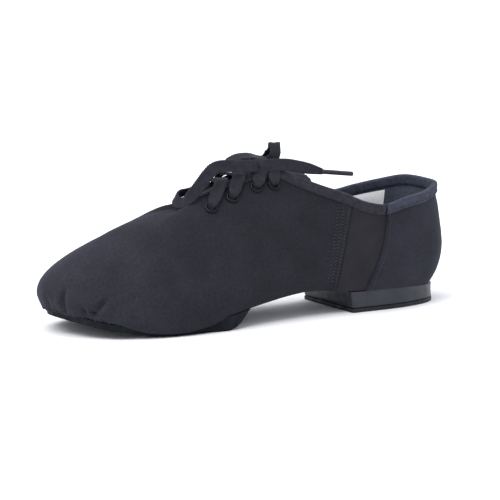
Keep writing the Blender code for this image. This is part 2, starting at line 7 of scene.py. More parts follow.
import bpy
import bmesh
import numpy as np
from mathutils import Matrix, Vector, noise


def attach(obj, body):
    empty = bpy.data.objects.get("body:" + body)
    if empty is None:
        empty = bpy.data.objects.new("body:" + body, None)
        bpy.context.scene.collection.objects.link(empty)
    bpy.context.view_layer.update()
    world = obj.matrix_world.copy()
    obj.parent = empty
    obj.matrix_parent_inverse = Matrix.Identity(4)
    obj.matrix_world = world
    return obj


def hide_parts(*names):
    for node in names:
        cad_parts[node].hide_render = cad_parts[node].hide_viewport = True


bl_info = {
    "name": "Jazz Shoe",
    "version": (1, 0, 0),
    "blender": (4, 5, 0),
    "location": "View3D > Sidebar > Shoe",
    "description": "Canvas jazz shoe with elastic sides, split sole, eyelets and tied laces",
    "category": "Object",
}

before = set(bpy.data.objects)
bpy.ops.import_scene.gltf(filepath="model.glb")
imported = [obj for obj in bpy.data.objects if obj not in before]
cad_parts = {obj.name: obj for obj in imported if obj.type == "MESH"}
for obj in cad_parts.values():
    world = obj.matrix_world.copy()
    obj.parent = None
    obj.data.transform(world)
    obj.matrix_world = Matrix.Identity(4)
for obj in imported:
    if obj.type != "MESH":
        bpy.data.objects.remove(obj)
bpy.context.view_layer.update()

MM = 0.001
# Where the frame's origin lies: share of the pattern length from the heel
MIDDLE = 0.490
# Cloth coordinates in one metre, and the distance at which points of a mesh are joined
UV_PER_METRE = 100.0
WELD = 2e-6
# Steps at which a stitch's route and a lace are followed, and sides of a thread, an eyelet and the knot
ROUTE_STEP = 0.0002
LACE_STEP = 0.00028
THREAD_SIDES = 6
EYELET_SIDES = 56
KNOT_SIDES = 72
# Points of the rim from which even steps along it are taken
RIM_POINTS = 900

BLACK = (0.0, 0.0, 0.0)
WHITE = (1.0, 1.0, 1.0)
LINT = (0.10, 0.10, 0.12)
# Places along X between which the canvas darkens: painted light, paler at the lit toe, and painted shade towards
# the heel
PAINTED_SHADE_FROM_TO = (-0.118, -0.015)

# The upper's sections, from the toe's centre round one side to the heel's centre. Each row gives:
# along    feather point, share of the pattern length from the heel
# aside    feather point, share of half of the ball's width
# out      how far the wall leans out above the feather, share of half of the ball's width
# up       height of that lean, share of the instep's height
# r_along  rim point, share of the pattern length from the heel
# r_aside  rim point, share of half of the ball's width
# r_up     rim point, share of the instep's height
# reach    how far the wall runs in under the rim, share of the plan distance
# drop     how far it runs down there, share of the instep's height
LATERAL = [
    (0.968, 0.10, 0.42, 0.22, 0.652, 0.00, 0.766, 0.50, -0.010),
    (0.955, -0.20, 0.37, 0.22, 0.650, -0.03, 0.768, 0.50, -0.005),
    (0.925, -0.48, 0.26, 0.23, 0.646, -0.05, 0.778, 0.50, 0.010),
    (0.880, -0.70, 0.19, 0.26, 0.636, -0.07, 0.815, 0.48, 0.060),
    (0.815, -0.84, 0.15, 0.30, 0.612, -0.11, 0.876, 0.42, 0.160),
    (0.740, -0.90, 0.14, 0.32, 0.575, -0.15, 0.925, 0.37, 0.200),
    (0.665, -0.89, 0.14, 0.30, 0.533, -0.183, 0.967, 0.34, 0.220),
    (0.610, -0.84, 0.15, 0.28, 0.493, -0.22, 0.997, 0.33, 0.230),
    (0.570, -0.78, 0.15, 0.26, 0.460, -0.245, 1.013, 0.33, 0.230),
    (0.520, -0.71, 0.15, 0.24, 0.437, -0.275, 1.006, 0.33, 0.220),
    (0.450, -0.64, 0.15, 0.22, 0.405, -0.35, 0.957, 0.30, 0.200),
    (0.390, -0.60, 0.15, 0.21, 0.355, -0.47, 0.890, 0.25, 0.190),
    (0.335, -0.585, 0.15, 0.20, 0.300, -0.585, 0.825, 0.18, 0.180),
    (0.295, -0.585, 0.15, 0.20, 0.250, -0.62, 0.760, 0.15, 0.180),
    (0.248, -0.585, 0.15, 0.20, 0.200, -0.635, 0.733, 0.15, 0.180),
    (0.185, -0.570, 0.17, 0.20, 0.150, -0.625, 0.768, 0.15, 0.190),
    (0.115, -0.50, 0.22, 0.21, 0.088, -0.55, 0.795, 0.20, 0.210),
    (0.056, -0.335, 0.31, 0.22, 0.036, -0.36, 0.835, 0.30, 0.225),
    (0.031, 0.00, 0.35, 0.23, 0.013, 0.00, 0.838, 0.35, 0.230),
]
MEDIAL = [
    (0.955, 0.38, 0.37, 0.22, 0.650, 0.03, 0.766, 0.50, -0.005),
    (0.920, 0.63, 0.24, 0.23, 0.646, 0.05, 0.774, 0.50, 0.010),
    (0.865, 0.80, 0.18, 0.26, 0.636, 0.07, 0.805, 0.48, 0.060),
    (0.795, 0.88, 0.15, 0.31, 0.612, 0.11, 0.865, 0.42, 0.170),
    (0.725, 0.88, 0.14, 0.33, 0.575, 0.15, 0.908, 0.37, 0.200),
    (0.660, 0.79, 0.13, 0.32, 0.533, 0.183, 0.942, 0.34, 0.220),
    (0.610, 0.69, 0.14, 0.30, 0.493, 0.22, 0.975, 0.33, 0.230),
    (0.570, 0.61, 0.14, 0.28, 0.460, 0.245, 0.998, 0.33, 0.230),
    (0.520, 0.53, 0.15, 0.27, 0.437, 0.275, 0.998, 0.33, 0.220),
    (0.450, 0.48, 0.16, 0.25, 0.405, 0.35, 0.957, 0.30, 0.200),
    (0.390, 0.475, 0.16, 0.23, 0.355, 0.47, 0.895, 0.25, 0.190),
    (0.335, 0.49, 0.16, 0.21, 0.300, 0.585, 0.830, 0.18, 0.180),
    (0.295, 0.51, 0.16, 0.20, 0.250, 0.62, 0.775, 0.15, 0.180),
    (0.248, 0.53, 0.16, 0.20, 0.200, 0.635, 0.755, 0.15, 0.180),
    (0.185, 0.545, 0.17, 0.20, 0.150, 0.625, 0.780, 0.15, 0.190),
    (0.115, 0.49, 0.22, 0.21, 0.088, 0.55, 0.815, 0.20, 0.210),
    (0.056, 0.335, 0.31, 0.22, 0.036, 0.36, 0.848, 0.30, 0.225),
]
ROWS = np.array(LATERAL + MEDIAL[::-1])
TURN = len(ROWS)
HALF = TURN // 2

# Height of the upper's underside: share of the pattern length from the heel, then share of the way from the
# sole's top to the heel's top
UNDERSIDE = [
    (0.000, 0.80),
    (0.060, 0.84),
    (0.120, 0.93),
    (0.200, 1.00),
    (0.275, 1.00),
    (0.335, 1.20),
    (0.400, 1.32),
    (0.450, 1.22),
    (0.520, 0.96),
    (0.570, 0.77),
    (0.620, 0.54),
    (0.670, 0.30),
    (0.730, 0.03),
    (0.780, 0.00),
    (1.000, 0.00),
]

# Rows of the ring where pieces begin and end
FORE_END = 8
HEEL_START = 14
GORE_FRONT = 12.25
GORE_BACK = 14.0
# Half of the parting between front and rear tape, in rows
TAPE_PARTING = 0.04
# The elastic's seams: slant of the front one and bow of the rear one, in rows, and the height without slant
GORE_SLANT = 0.10
GORE_BOW = 0.27
MID_HEIGHT = 0.4
# How far the elastic lies below the canvas and the counter above it, in millimetres
ELASTIC_DROP = 0.5
COUNTER_RISE = 1.1
# Length of the wall from feather to rim by which creases and dents are measured
WALL_RUN = 0.085
# The diamond seam: rows ahead of the elastic, then in millimetres the length and half width of a diamond and
# the places of its three rows of knots; then how far the counter's stitches lie behind its edge
DIAMOND_AHEAD = 0.36
DIAMOND_LONG = 3.6
DIAMOND_HALF = 2.5
DIAMOND_ROWS = (-2.7, 0.0, 2.7)
COUNTER_ROW = 3.4
# Length of a stitch and of the gap after it, in millimetres
TAPE_STITCH = (2.1, 0.7)
SEAM_STITCH = (2.2, 0.8)
DIAMOND_STITCH = (0.75, 1.05)

# Eyelets from the toe up: place on the ring, and depth below the edge as a share of eyelet_from_edge
EYELETS = [
    (4.97, 1.70),
    (5.89, 1.26),
    (7.19, 0.92),
    (8.60, 0.88),
]

# The tongue: place on the ring, heights of its wing's outer and inner edge (0 feather, 1 rim), and its crown
# as a share of the instep's height
TONGUE_ROWS = [
    (5.0, 0.84, 0.965, 0.000),
    (6.0, 0.86, 0.97, 0.014),
    (7.2, 0.87, 0.97, 0.016),
    (8.4, 0.88, 0.97, 0.018),
]
# Its ends: share of the pattern length from the heel, half width as a share of half the ball's width, then
# height and fall to the sides as shares of the instep's height
TONGUE_START = [
    (0.695, 0.240, 0.714, 0.040),
    (0.672, 0.270, 0.704, 0.035),
    (0.650, 0.290, 0.706, 0.030),
    (0.628, 0.300, 0.738, 0.030),
]
TONGUE_END = [
    (0.425, 0.205, 0.975, 0.035),
    (0.392, 0.250, 0.970, 0.045),
    (0.360, 0.240, 0.953, 0.045),
    (0.345, 0.160, 0.935, 0.030),
]

# The label's places on the ring, and its heights (0 feather, 1 rim)
LABEL_PLACE = (19.70, 21.55)
LABEL_HEIGHT = (0.72, 0.885)

# The forefoot sole, in shares of the pattern length from the heel: its flat part, where its spring is full,
# and its tail's length; then its end and that end's bow, in rows, and the end's thickness as a share of the sole
FLAT_BACK = 0.640
FLAT_FRONT = 0.760
SPRING_END = 0.970
TAIL = 0.070
SOLE_END = 8.5
REAR_BOW = 0.4
REAR_EDGE = 0.24

# The bow, in millimetres. Each run has its path and the way that its flat side looks.
FRONT_LOOP = (
    [(1.8, -12.2, 81.3), (-5.8, -12.6, 81.9), (-13.1, -12.7, 82.3), (-20.4, -12.8, 82.8),
     (-25.2, -12.8, 82.6), (-28.7, -12.6, 81.2), (-32.0, -12.0, 77.7), (-34.9, -10.8, 73.5),
     (-37.5, -9.0, 69.3), (-39.5, -6.5, 65.6),
     (-41.0, -3.0, 63.5), (-42.4, 0.5, 63.6), (-41.8, 3.9, 65.4), (-38.3, 6.5, 66.9), (-33.4, 8.2, 67.4),
     (-28.9, 8.8, 68.4), (-25.3, 8.6, 70.2), (-21.9, 8.2, 73.3), (-18.5, 7.8, 76.4), (-14.5, 7.2, 79.2),
     (-9.4, 6.2, 80.2), (-3.6, 5.0, 81.0), (2.0, 3.8, 81.6), (6.4, 2.6, 81.4)],
    [(0, -1, 0.1), (0, -1, 0.1), (0, -1, 0.1), (0, -1, 0.1), (-0.2, -1, 0.2),
     (-0.4, -1, 0.2), (-0.5, -1, 0.2), (-0.5, -1, 0.3), (-0.6, -0.9, 0.3), (-0.7, -0.7, 0.4),
     (-0.9, -0.4, 0.5), (-1, 0.1, 0.5), (-0.8, 0.6, 0.6), (-0.3, 0.9, 0.7), (0, 0.8, 0.8),
     (0, 0.7, 0.8), (-0.1, 0.8, 0.7), (-0.1, 0.9, 0.5), (0, 1, 0.4), (0, 1, 0.3),
     (0, 1, 0.4), (0, 1, 0.4), (0, 0.9, 0.6), (0, 0.8, 0.7)],
)
REAR_LOOP = (
    [(8.6, -7.4, 82.4), (11.4, -7.8, 84.4), (12.8, -7.4, 87.0), (13.2, -6.6, 89.6), (13.5, -5.4, 91.6),
     (14.2, -3.6, 91.7), (14.9, -1.8, 89.6), (15.2, 0.6, 86.8), (14.2, 3.2, 84.8), (10.6, 5.2, 84.0),
     (4.6, 5.8, 84.6), (-2.4, 5.4, 84.3), (-8.4, 4.4, 82.6)],
    [(0.2, -1, 0.4), (0.1, -1, 0.2), (0, -1, 0.1), (0, -1, 0.3), (0, -0.8, 0.7),
     (0, 0.5, 0.9), (0.1, 1, 0.4), (0.3, 1, 0.3), (0.5, 0.5, 0.7), (0.2, 0, 1),
     (0, -0.4, 0.9), (0, -0.5, 0.9), (-0.2, -0.4, 0.9)],
)
FREE_END = (
    [(-1.6, -11.2, 81.5), (1.9, -12.4, 81.5), (6.3, -13.8, 81.7), (14.6, -14.2, 81.5), (21.7, -13.9, 80.3),
     (30.3, -13.2, 78.3), (38.9, -12.4, 76.1)],
    [(0, -1, 0.1), (0, -1, 0.1), (0, -1, 0.1), (0, -1, 0.1), (0, -1, 0.1), (0, -1, 0.1), (0, -1, 0.1)],
)
FREE_WIDTHS = [0.96, 1.0, 1.0, 1.0, 0.98, 0.90, 0.52]
# The knot's middle and half sizes, the place along X of the lace wrapped round it, and how far it slants
KNOT_AT = (2.2, -8.6, 81.3)
KNOT_HALF = (7.0, 4.6, 3.7)
KNOT_WRAP_AT = 2.6
KNOT_WRAP_SLANT = 1.6
# The aglet's start, run and radius
AGLET_AT = (38.9, -12.4, 76.0)
AGLET_ALONG = (19.0, -1.0, -2.3)
AGLET_ROUND = 1.3

# The lace's places from behind its eyelet up to the throat's edge: share of that way, then how far it stands
# off the wall's face, in clearances of the lace outside it and in wall thicknesses inside it
STRAND_STEPS = [
    (-0.10, -1.6),
    (0.0, -0.3),
    (0.10, 0.9),
    (0.30, 1.0),
    (0.62, 1.0),
    (1.0, 1.0),
]
# Widths and thicknesses of the lace at those places
STRAND_WIDTHS = [0.50, 0.52, 0.72, 0.98, 1.0, 1.0]
STRAND_THICK = [1.5, 1.5, 1.25, 1.0, 1.0, 1.0]

# Creases of the canvas: from one place on the ring and height (0 feather, 1 rim) to another, then width and
# depth in millimetres, a trough below zero and a ridge above
CREASES = [
    (1.02, 0.215, 1.09, 0.025, 1.3, -2.5),
    (0.80, 0.180, 0.84, 0.050, 2.2, 0.6),
    (1.32, 0.200, 1.30, 0.040, 2.8, 0.7),
    (1.80, 0.090, 1.86, 0.020, 1.5, -2.4),
    (2.12, 0.095, 2.18, 0.025, 1.3, -2.2),
    (2.26, 0.055, 2.54, 0.185, 1.5, -2.4),
    (2.52, 0.060, 2.74, 0.160, 2.6, 0.8),
    (1.95, 0.050, 2.90, 0.066, 1.0, -0.8),
    (2.02, 0.115, 2.36, 0.200, 2.4, 0.5),
    (0.35, 0.120, 0.40, 0.030, 1.6, -0.8),
    (3.05, 0.130, 3.45, 0.240, 3.0, -0.6),
    (33.2, 0.860, 33.7, 0.760, 3.0, -0.5),
]
# Broad dents and swells: place, height, radius and rise in millimetres
DENTS = [
    (34.9, 0.58, 17.0, -1.9),
    (0.2, 0.20, 13.0, 1.1),
    (33.1, 0.86, 8.5, 1.5),
    (2.9, 0.42, 16.0, -0.7),
    (3.9, 0.30, 14.0, 0.5),
    (5.2, 0.45, 18.0, -0.8),
    (6.8, 0.55, 15.0, 0.5),
    (8.0, 0.40, 18.0, -0.7),
    (9.6, 0.55, 16.0, 0.5),
    (10.9, 0.40, 16.0, -0.5),
    (31.5, 0.50, 18.0, -0.6),
    (28.5, 0.50, 18.0, 0.5),
    (26.0, 0.45, 16.0, -0.5),
]
# Where the stuffed canvas hangs over the sole's edge: from and to along the ring, and how far in millimetres
OVERHANGS = [
    (-1.0, 1.5, 1.1),
    (3.5, 6.3, 1.9),
]

# The heel: how square its round back is (2 is an ellipse), then in millimetres its corners' radius and its
# breast's slant
HEEL_ROUND = 2.7
HEEL_CORNER = 1.4
HEEL_SLANT = 1.5

# Camera: compass turn and rise in degrees, point aimed at, distance, offset of its frame, then lens and
# sensor width in millimetres
CAMERA_TURN = -30.2
CAMERA_RISE = 8.9
CAMERA_AIM = (-0.0006, 0.0, 0.03627)
CAMERA_AWAY = 1.4507
CAMERA_ASIDE = 0.00187
CAMERA_DOWN = 0.00128
CAMERA_LENS = 195.55
CAMERA_SENSOR = 36.0

# Studio: half width of the floor, strength of the white surround, the overhead light's strength, spread in
# degrees and direction, then each lamp's name, place, aim, width and power
FLOOR_REACH = 6.0
WORLD_LIGHT = 0.95
SKY_LIGHT = 1.95
SKY_SPREAD = 55.0
SKY_FROM = (-0.55, -0.10, 1.0)
LAMPS = [
    ("key", (-0.9, -0.7, 1.3), (0.0, 0.0, 0.03), 0.35, 3.0),
    ("rim", (1.1, 0.5, 0.7), (0.05, 0.0, 0.05), 0.6, 3.0),
]


def measure(name, description, default):
    """A length that the panel shows."""
    return bpy.props.FloatProperty(name=name, description=description, default=default, unit="LENGTH")


def paint(name, description, default):
    """A colour that the panel shows."""
    return bpy.props.FloatVectorProperty(
        name=name, description=description, default=default, subtype="COLOR", size=3)


class ShoeSizes(bpy.types.PropertyGroup):
    length: measure("Pattern length", "Length that the shares of the sections divide", 0.243)
    ball: measure(
        "Ball width", "Width over the feather points at the ball, with the walls' lean left out", 0.088)
    instep: measure("Instep height", "Height of the eyestays' edge", 0.0777)
    heel: measure("Heel height", "Height of heel and top lift", 0.0115)
    spring: measure("Toe spring", "Lift of the sole under the toe", 0.0097)
    wall: measure("Wall", "Thickness of canvas and lining", 0.0016)
    sole: measure("Sole", "Thickness of the forefoot sole", 0.0034)
    insole: measure("Sock", "Thickness of the sock inside", 0.0018)
    gap: measure("Seat gap", "Space between pieces that touch", 0.0003)
    margin: measure("Lasting margin", "Width of the canvas turned in under the foot", 0.012)
    binding: measure("Binding", "Width of the tape that shows on each side of the edge", 0.0045)
    tape: measure("Tape", "Thickness of the binding's tape", 0.0006)
    rib: measure("Tape rib", "Pitch of the ribs across the tape", 0.0011)
    eyelet: measure("Eyelet", "Outer diameter of an eyelet", 0.0068)
    eyelet_hole: measure("Eyelet hole", "Inner diameter of an eyelet", 0.0042)
    eyelet_rim: measure("Eyelet rim", "Height of an eyelet's rolled rim", 0.0009)
    eyelet_from_edge: measure(
        "Eyelet from edge", "Usual depth of an eyelet below the throat's edge", 0.0098)
    tongue: measure("Tongue", "Thickness of the tongue", 0.0016)
    heel_width: measure("Heel width", "Width of the heel block", 0.0508)
    heel_length: measure("Heel length", "Length of the heel block", 0.0625)
    heel_inset: measure("Heel inset", "How far the heel block stands in from the heel's back", 0.0057)
    lift: measure("Top lift", "Thickness of the heel's top lift", 0.0022)
    lace: measure("Lace width", "Width of the flat lace", 0.0066)
    lace_thick: measure("Lace thickness", "Thickness of the flat lace", 0.0013)
    thread: measure("Thread", "Thickness of the sewing thread", 0.00034)


class ShoeColours(bpy.types.PropertyGroup):
    canvas: paint("Canvas", "Colour of the canvas", (0.0250, 0.0254, 0.0325))
    elastic: paint("Elastic", "Colour of the side panels", (0.0162, 0.0158, 0.0195))
    # The lining's pale colour is partly its own and partly painted light on the shoe's shaded inside
    lining: paint("Lining", "Colour of the lining and sock", (0.078, 0.088, 0.118))
    tape: paint("Tape", "Colour of the binding", (0.0165, 0.0167, 0.0220))
    rubber: paint("Sole", "Colour of the forefoot sole", (0.0064, 0.0086, 0.0112))
    heel: paint("Heel", "Colour of the heel block", (0.0175, 0.0192, 0.0280))
    lift: paint("Top lift", "Colour of the top lift", (0.010, 0.0108, 0.014))
    metal: paint("Eyelets", "Colour of the enamelled eyelets", (0.007, 0.007, 0.0085))
    lace: paint("Lace", "Colour of the lace", (0.0118, 0.0118, 0.0170))
    label: paint("Label", "Colour of the bare label", (0.93, 0.93, 0.92))
    thread: paint("Thread", "Colour of the sewing thread", (0.019, 0.019, 0.023))


def size():
    """The shoe's sizes."""
    return bpy.context.scene.shoe_sizes


def smooth_table(table, at):
    """Height shares of a two-column table, by cubic curves in its own spacing."""
    x, y = np.array(table).T
    slope = np.gradient(y, x)
    i = np.clip(np.searchsorted(x, at) - 1, 0, len(x) - 2)
    step = x[i + 1] - x[i]
    f = np.clip((at - x[i]) / step, 0, 1)
    return ((2 * f**3 - 3 * f**2 + 1) * y[i] + (f**3 - 2 * f**2 + f) * step * slope[i]
            + (3 * f**2 - 2 * f**3) * y[i + 1] + (f**3 - f**2) * step * slope[i + 1])


def share(x):
    """Share of the pattern length from the heel at a place along X."""
    return MIDDLE - np.asarray(x) / size().length


def spring(x):
    """Toe spring of the sole's underside at a place along X."""
    f = np.clip((share(x) - FLAT_FRONT) / (SPRING_END - FLAT_FRONT), 0, 2)
    return size().spring * f**1.5


def base(x):
    """Height of the upper's underside at a place along X."""
    s = size()
    return s.sole + s.gap + spring(x) + (s.heel - s.sole) * smooth_table(UNDERSIDE, share(x))


def unit(v):
    """Vectors brought to length 1."""
    return v / np.linalg.norm(v, axis=-1, keepdims=True)


def run_of(points):
    """Length run along a path at each of its points."""
    return np.concatenate([[0], np.linalg.norm(np.diff(points, axis=0), axis=1).cumsum()])


def spline(p0, p1, p2, p3, f):
    """Catmull-Rom curve from p1 to p2."""
    return 0.5 * (2 * p1 + (p2 - p0) * f + (2 * p0 - 5 * p1 + 4 * p2 - p3) * f**2
                  + (3 * p1 - p0 - 3 * p2 + p3) * f**3)


def spokes(turn, side, up):
    """Directions at angles from side towards up."""
    return np.cos(turn)[:, None] * side + np.sin(turn)[:, None] * up


def sided(a, medial):
    """A lateral ring place, or the medial one across from it."""
    return TURN - a if medial else a


def ring(a):
    """The columns of the section table at ring places a, one unit a row."""
    a = np.asarray(a, float) % TURN
    i = np.floor(a).astype(int)
    f = (a - i)[..., None]
    return spline(*(ROWS[(i + k) % TURN] for k in (-1, 0, 1, 2)), f)


def feather(a):
    """Feather point at ring places a."""
    r = ring(a)
    x = (MIDDLE - r[..., 0]) * size().length
    return np.stack([x, r[..., 1] * size().ball / 2, base(x)], -1)


def outward(a):
    """Level direction that points out of the shoe at the feather."""
    d = feather(np.asarray(a) + 0.2) - feather(np.asarray(a) - 0.2)
    n = np.stack([d[..., 1], -d[..., 0], 0 * d[..., 0]], -1)
    return unit(n)


def place(a, t):
    """Point of the upper's smooth outer face: a goes round the ring, t from feather (0) to rim (1)."""
    s = size()
    r = ring(a)
    foot = feather(a)
    half, instep = s.ball / 2, s.instep
    rim = np.stack([(MIDDLE - r[..., 4]) * s.length, r[..., 5] * half, r[..., 6] * instep], -1)
    zed = np.array([0.0, 0.0, 1.0])
    low = foot + outward(a) * (r[..., 2] * half)[..., None] + zed * (r[..., 3] * instep)[..., None]
    plan = (foot - rim) * np.array([1.0, 1.0, 0.0])
    high = rim + plan * r[..., 7][..., None] - zed * (r[..., 8] * instep)[..., None]
    t = np.asarray(t, float)[..., None]
    return (1 - t)**3 * foot + 3 * (1 - t)**2 * t * low + 3 * (1 - t) * t**2 * high + t**3 * rim


def normal(a, t):
    """Outward direction of the upper's smooth outer face."""
    e = 0.02
    t0 = np.clip(t, e, 1 - e)
    n = np.cross(place(a + 0.1, t0) - place(a - 0.1, t0), place(a, t0 + e) - place(a, t0 - e))
    return unit(n)


def skin(a, t, off=0.0):
    """Point of the upper's smooth outer face moved off along its normal."""
    a, t = np.broadcast_arrays(np.asarray(a, float), np.asarray(t, float))
    return place(a, t) + normal(a, t) * np.asarray(off)[..., None]


def below_rim(a, depth):
    """The t of the point that lies a given length below the rim, measured along the wall."""
    t = np.linspace(0, 1, 61)
    a = np.atleast_1d(a)
    p = place(np.repeat(a[:, None], 61, 1), np.repeat(t[None, :], len(a), 0))
    run = np.linalg.norm(np.diff(p, axis=1), axis=2)[:, ::-1].cumsum(1)
    return np.array([np.interp(depth, np.concatenate([[0], one]), t[::-1]) for one in run])


def bell(x):
    """A soft bump that is 1 at 0 and fades out by about 2."""
    return np.exp(-np.asarray(x)**2)


def rise(x):
    """A soft step from 0 at -1 to 1 at 1."""
    f = np.clip((np.asarray(x) + 1) / 2, 0, 1)
    return f * f * (3 - 2 * f)


def row_pitch(a):
    """Length of one row of the ring at ring places a, measured a little below half way up the wall."""
    t = MID_HEIGHT + 0 * a
    return np.linalg.norm(place(a + 0.1, t) - place(a - 0.1, t), axis=-1) / 0.2


def mirrored(a):
    """Ring place folded onto the lateral side, 0 at the toe and 18 at the heel."""
    a = np.asarray(a) % TURN
    return np.minimum(a, TURN - a)


def smooth(points, each):
    """Points along a Catmull-Rom curve through the given ones."""
    p = np.array(points, float)
    p = np.vstack([2 * p[0] - p[1], p, 2 * p[-1] - p[-2]])
    out = []
    for i in range(1, len(p) - 2):
        out.append(spline(*p[i - 1:i + 3], np.arange(each)[:, None] / each))
    return np.vstack(out + [p[-2:-1]])


def evenly(points, step, *others):
    """A path, and what goes with it, resampled at an even step."""
    run = run_of(points)
    at = np.linspace(0, run[-1], max(int(run[-1] / step), 2) + 1)
    out = []
    for table in (points,) + others:
        table = np.asarray(table, float).reshape(len(points), -1)
        out.append(np.column_stack([np.interp(at, run, column) for column in table.T]))
    return out + [at]


def scatter(points, scale, seed=0.0):
    """Smooth noise at points, features about 1 / scale metres wide."""
    shift = Vector((seed, 2 * seed, -seed))
    flat = points.reshape(-1, 3)
    values = [noise.noise(Vector(p) * scale + shift) for p in flat]
    return np.array(values).reshape(points.shape[:-1])


def set_sockets(node, values):
    """Sets a node's own input sockets by their names."""
    for socket, value in values.items():
        node.inputs[socket].default_value = value


def times(colour, *shares):
    """A colour times one share, or times a share for each channel."""
    return [v * k for v, k in zip(colour, shares * 3 if len(shares) == 1 else shares)]


def shader_nodes(name, colour, roughness):
    """A new node material; returns it with its tree and its Principled shader."""
    look = bpy.data.materials.new(name)
    look.use_nodes = True
    tree = look.node_tree
    shader = tree.nodes["Principled BSDF"]
    set_sockets(shader, {"Base Color": (*colour, 1.0), "Roughness": roughness})
    return look, tree, shader


def ramp_between(tree, dark, light, low=0.0, high=1.0):
    """A colour ramp from one colour to another."""
    ramp = tree.nodes.new("ShaderNodeValToRGB")
    for number, (position, colour) in enumerate(((low, dark), (high, light))):
        ramp.color_ramp.elements[number].position = position
        ramp.color_ramp.elements[number].color = (*colour, 1.0)
    return ramp


def speckle(tree, scale, low, high, dark, light, detail=3.0):
    """Noise between two colours, by place on the object."""
    coords = tree.nodes.new("ShaderNodeTexCoord")
    cloud = tree.nodes.new("ShaderNodeTexNoise")
    set_sockets(cloud, {"Scale": scale, "Detail": detail})
    ramp = ramp_between(tree, dark, light, low, high)
    tree.links.new(coords.outputs["Object"], cloud.inputs["Vector"])
    tree.links.new(cloud.outputs["Fac"], ramp.inputs["Fac"])
    return ramp.outputs["Color"]


def grain(tree, scale, low=0.3, high=0.7, detail=2.0):
    """Noise from black to white."""
    return speckle(tree, scale, low, high, BLACK, WHITE, detail)


def blend_colours(tree, factor, first, second, mode="MIX"):
    """Two colours mixed by a factor, each a socket or a colour."""
    mix = tree.nodes.new("ShaderNodeMix")
    mix.data_type = "RGBA"
    mix.blend_type = mode
    for socket, value in ((mix.inputs[0], factor), (mix.inputs[6], first), (mix.inputs[7], second)):
        if isinstance(value, bpy.types.NodeSocket):
            tree.links.new(value, socket)
        elif isinstance(value, float):
            socket.default_value = value
        else:
            socket.default_value = (*value, 1.0)
    return mix.outputs[2]


def along_shoe(tree, start, stop, shade):
    """Grey that runs from white at one place along the shoe to a shade at another."""
    coords = tree.nodes.new("ShaderNodeTexCoord")
    axes = tree.nodes.new("ShaderNodeSeparateXYZ")
    spread = tree.nodes.new("ShaderNodeMapRange")
    spread.interpolation_type = "SMOOTHSTEP"
    set_sockets(spread, {"From Min": start, "From Max": stop})
    ramp = ramp_between(tree, WHITE, (shade, shade, shade * 0.98))
    tree.links.new(coords.outputs["Object"], axes.inputs["Vector"])
    tree.links.new(axes.outputs["X"], spread.inputs["Value"])
    tree.links.new(spread.outputs["Result"], ramp.inputs["Fac"])
    return ramp.outputs["Color"]


def bump(tree, height, depth, under=None):
    """A bump of the given depth in metres, over another one."""
    node = tree.nodes.new("ShaderNodeBump")
    set_sockets(node, {"Distance": depth, "Strength": 1.0})
    tree.links.new(height, node.inputs["Height"])
    if under is not None:
        tree.links.new(under, node.inputs["Normal"])
    return node.outputs["Normal"]


def bands(tree, pitch, direction):
    """Sine bands of a pitch in metres along one direction of the cloth."""
    coords = tree.nodes.new("ShaderNodeTexCoord")
    wave = tree.nodes.new("ShaderNodeTexWave")
    wave.wave_type = "BANDS"
    wave.bands_direction = direction
    set_sockets(wave, {"Scale": math.pi / 10 / (pitch * UV_PER_METRE), "Distortion": 0.0})
    tree.links.new(coords.outputs["UV"], wave.inputs["Vector"])
    return wave.outputs["Fac"]


def larger(tree, first, second):
    """The larger of two sockets' values."""
    node = tree.nodes.new("ShaderNodeMath")
    node.operation = "MAXIMUM"
    tree.links.new(first, node.inputs[0])
    tree.links.new(second, node.inputs[1])
    return node.outputs[0]


def clouded(name, colour, roughness, scale, low, high, dark, light, detail=3.0):
    """A new material, clouded from a dark to a light share of its colour, with its tree and shader."""
    look, tree, shader = shader_nodes(name, colour, roughness)
    clouds = speckle(tree, scale, low, high, times(colour, dark), times(colour, light), detail)
    tree.links.new(clouds, shader.inputs["Base Color"])
    return look, tree, shader


def cloth(name, colour, roughness=0.92, pitch=0.0007, nap=0.00010, lint=0.25, sheen=0.06, painted_shade=1.0):
    """Woven cotton: warp and weft, a matt nap, cloudy colour, a little lint, and painted shade away from the lit
    toe.
    """
    look, tree, shader = shader_nodes(name, colour, roughness)
    cloudy = speckle(tree, 55.0, 0.36, 0.66, times(colour, 0.86), times(colour, 1.16), 4.0)
    fine = speckle(tree, 700.0, 0.30, 0.72, (0.72, 0.72, 0.72), WHITE, 2.0)
    woven = blend_colours(tree, 1.0, cloudy, fine, "MULTIPLY")
    # Painted shade: paler at the lit toe, darker towards the heel
    if painted_shade < 1.0:
        woven = blend_colours(tree, 1.0, woven, along_shoe(tree, *PAINTED_SHADE_FROM_TO, painted_shade), "MULTIPLY")
    fluff = speckle(tree, 1100.0, 0.67, 0.74, BLACK, (lint, lint, lint), 2.0)
    flecks = blend_colours(tree, 1.0, fluff, grain(tree, 38.0, 0.48, 0.62, 1.0), "MULTIPLY")
    tree.links.new(blend_colours(tree, flecks, woven, LINT), shader.inputs["Base Color"])
    threads = bump(tree, larger(tree, bands(tree, pitch, "X"), bands(tree, pitch, "Y")), 0.00005)
    fuzz = grain(tree, 1400.0, 0.2, 0.8, 3.0)
    tree.links.new(bump(tree, fuzz, nap, threads), shader.inputs["Normal"])
    set_sockets(shader, {"Specular IOR Level": 0.12, "Sheen Weight": sheen, "Sheen Roughness": 0.55,
                         "Sheen Tint": (0.75, 0.78, 1.0, 1.0)})
    return look


def knitted(name, colour):
    """Elastic: fine ribs up the panel and a soft sheen."""
    look, tree, shader = clouded(name, colour, 0.80, 60.0, 0.35, 0.65, 0.82, 1.18)
    ribs = bump(tree, bands(tree, 0.0012, "X"), 0.00005)
    cross = bump(tree, bands(tree, 0.0006, "Y"), 0.00004, ribs)
    tree.links.new(cross, shader.inputs["Normal"])
    set_sockets(shader, {"Specular IOR Level": 0.15, "Sheen Weight": 0.05,
                         "Sheen Tint": (0.80, 0.82, 1.0, 1.0)})
    return look


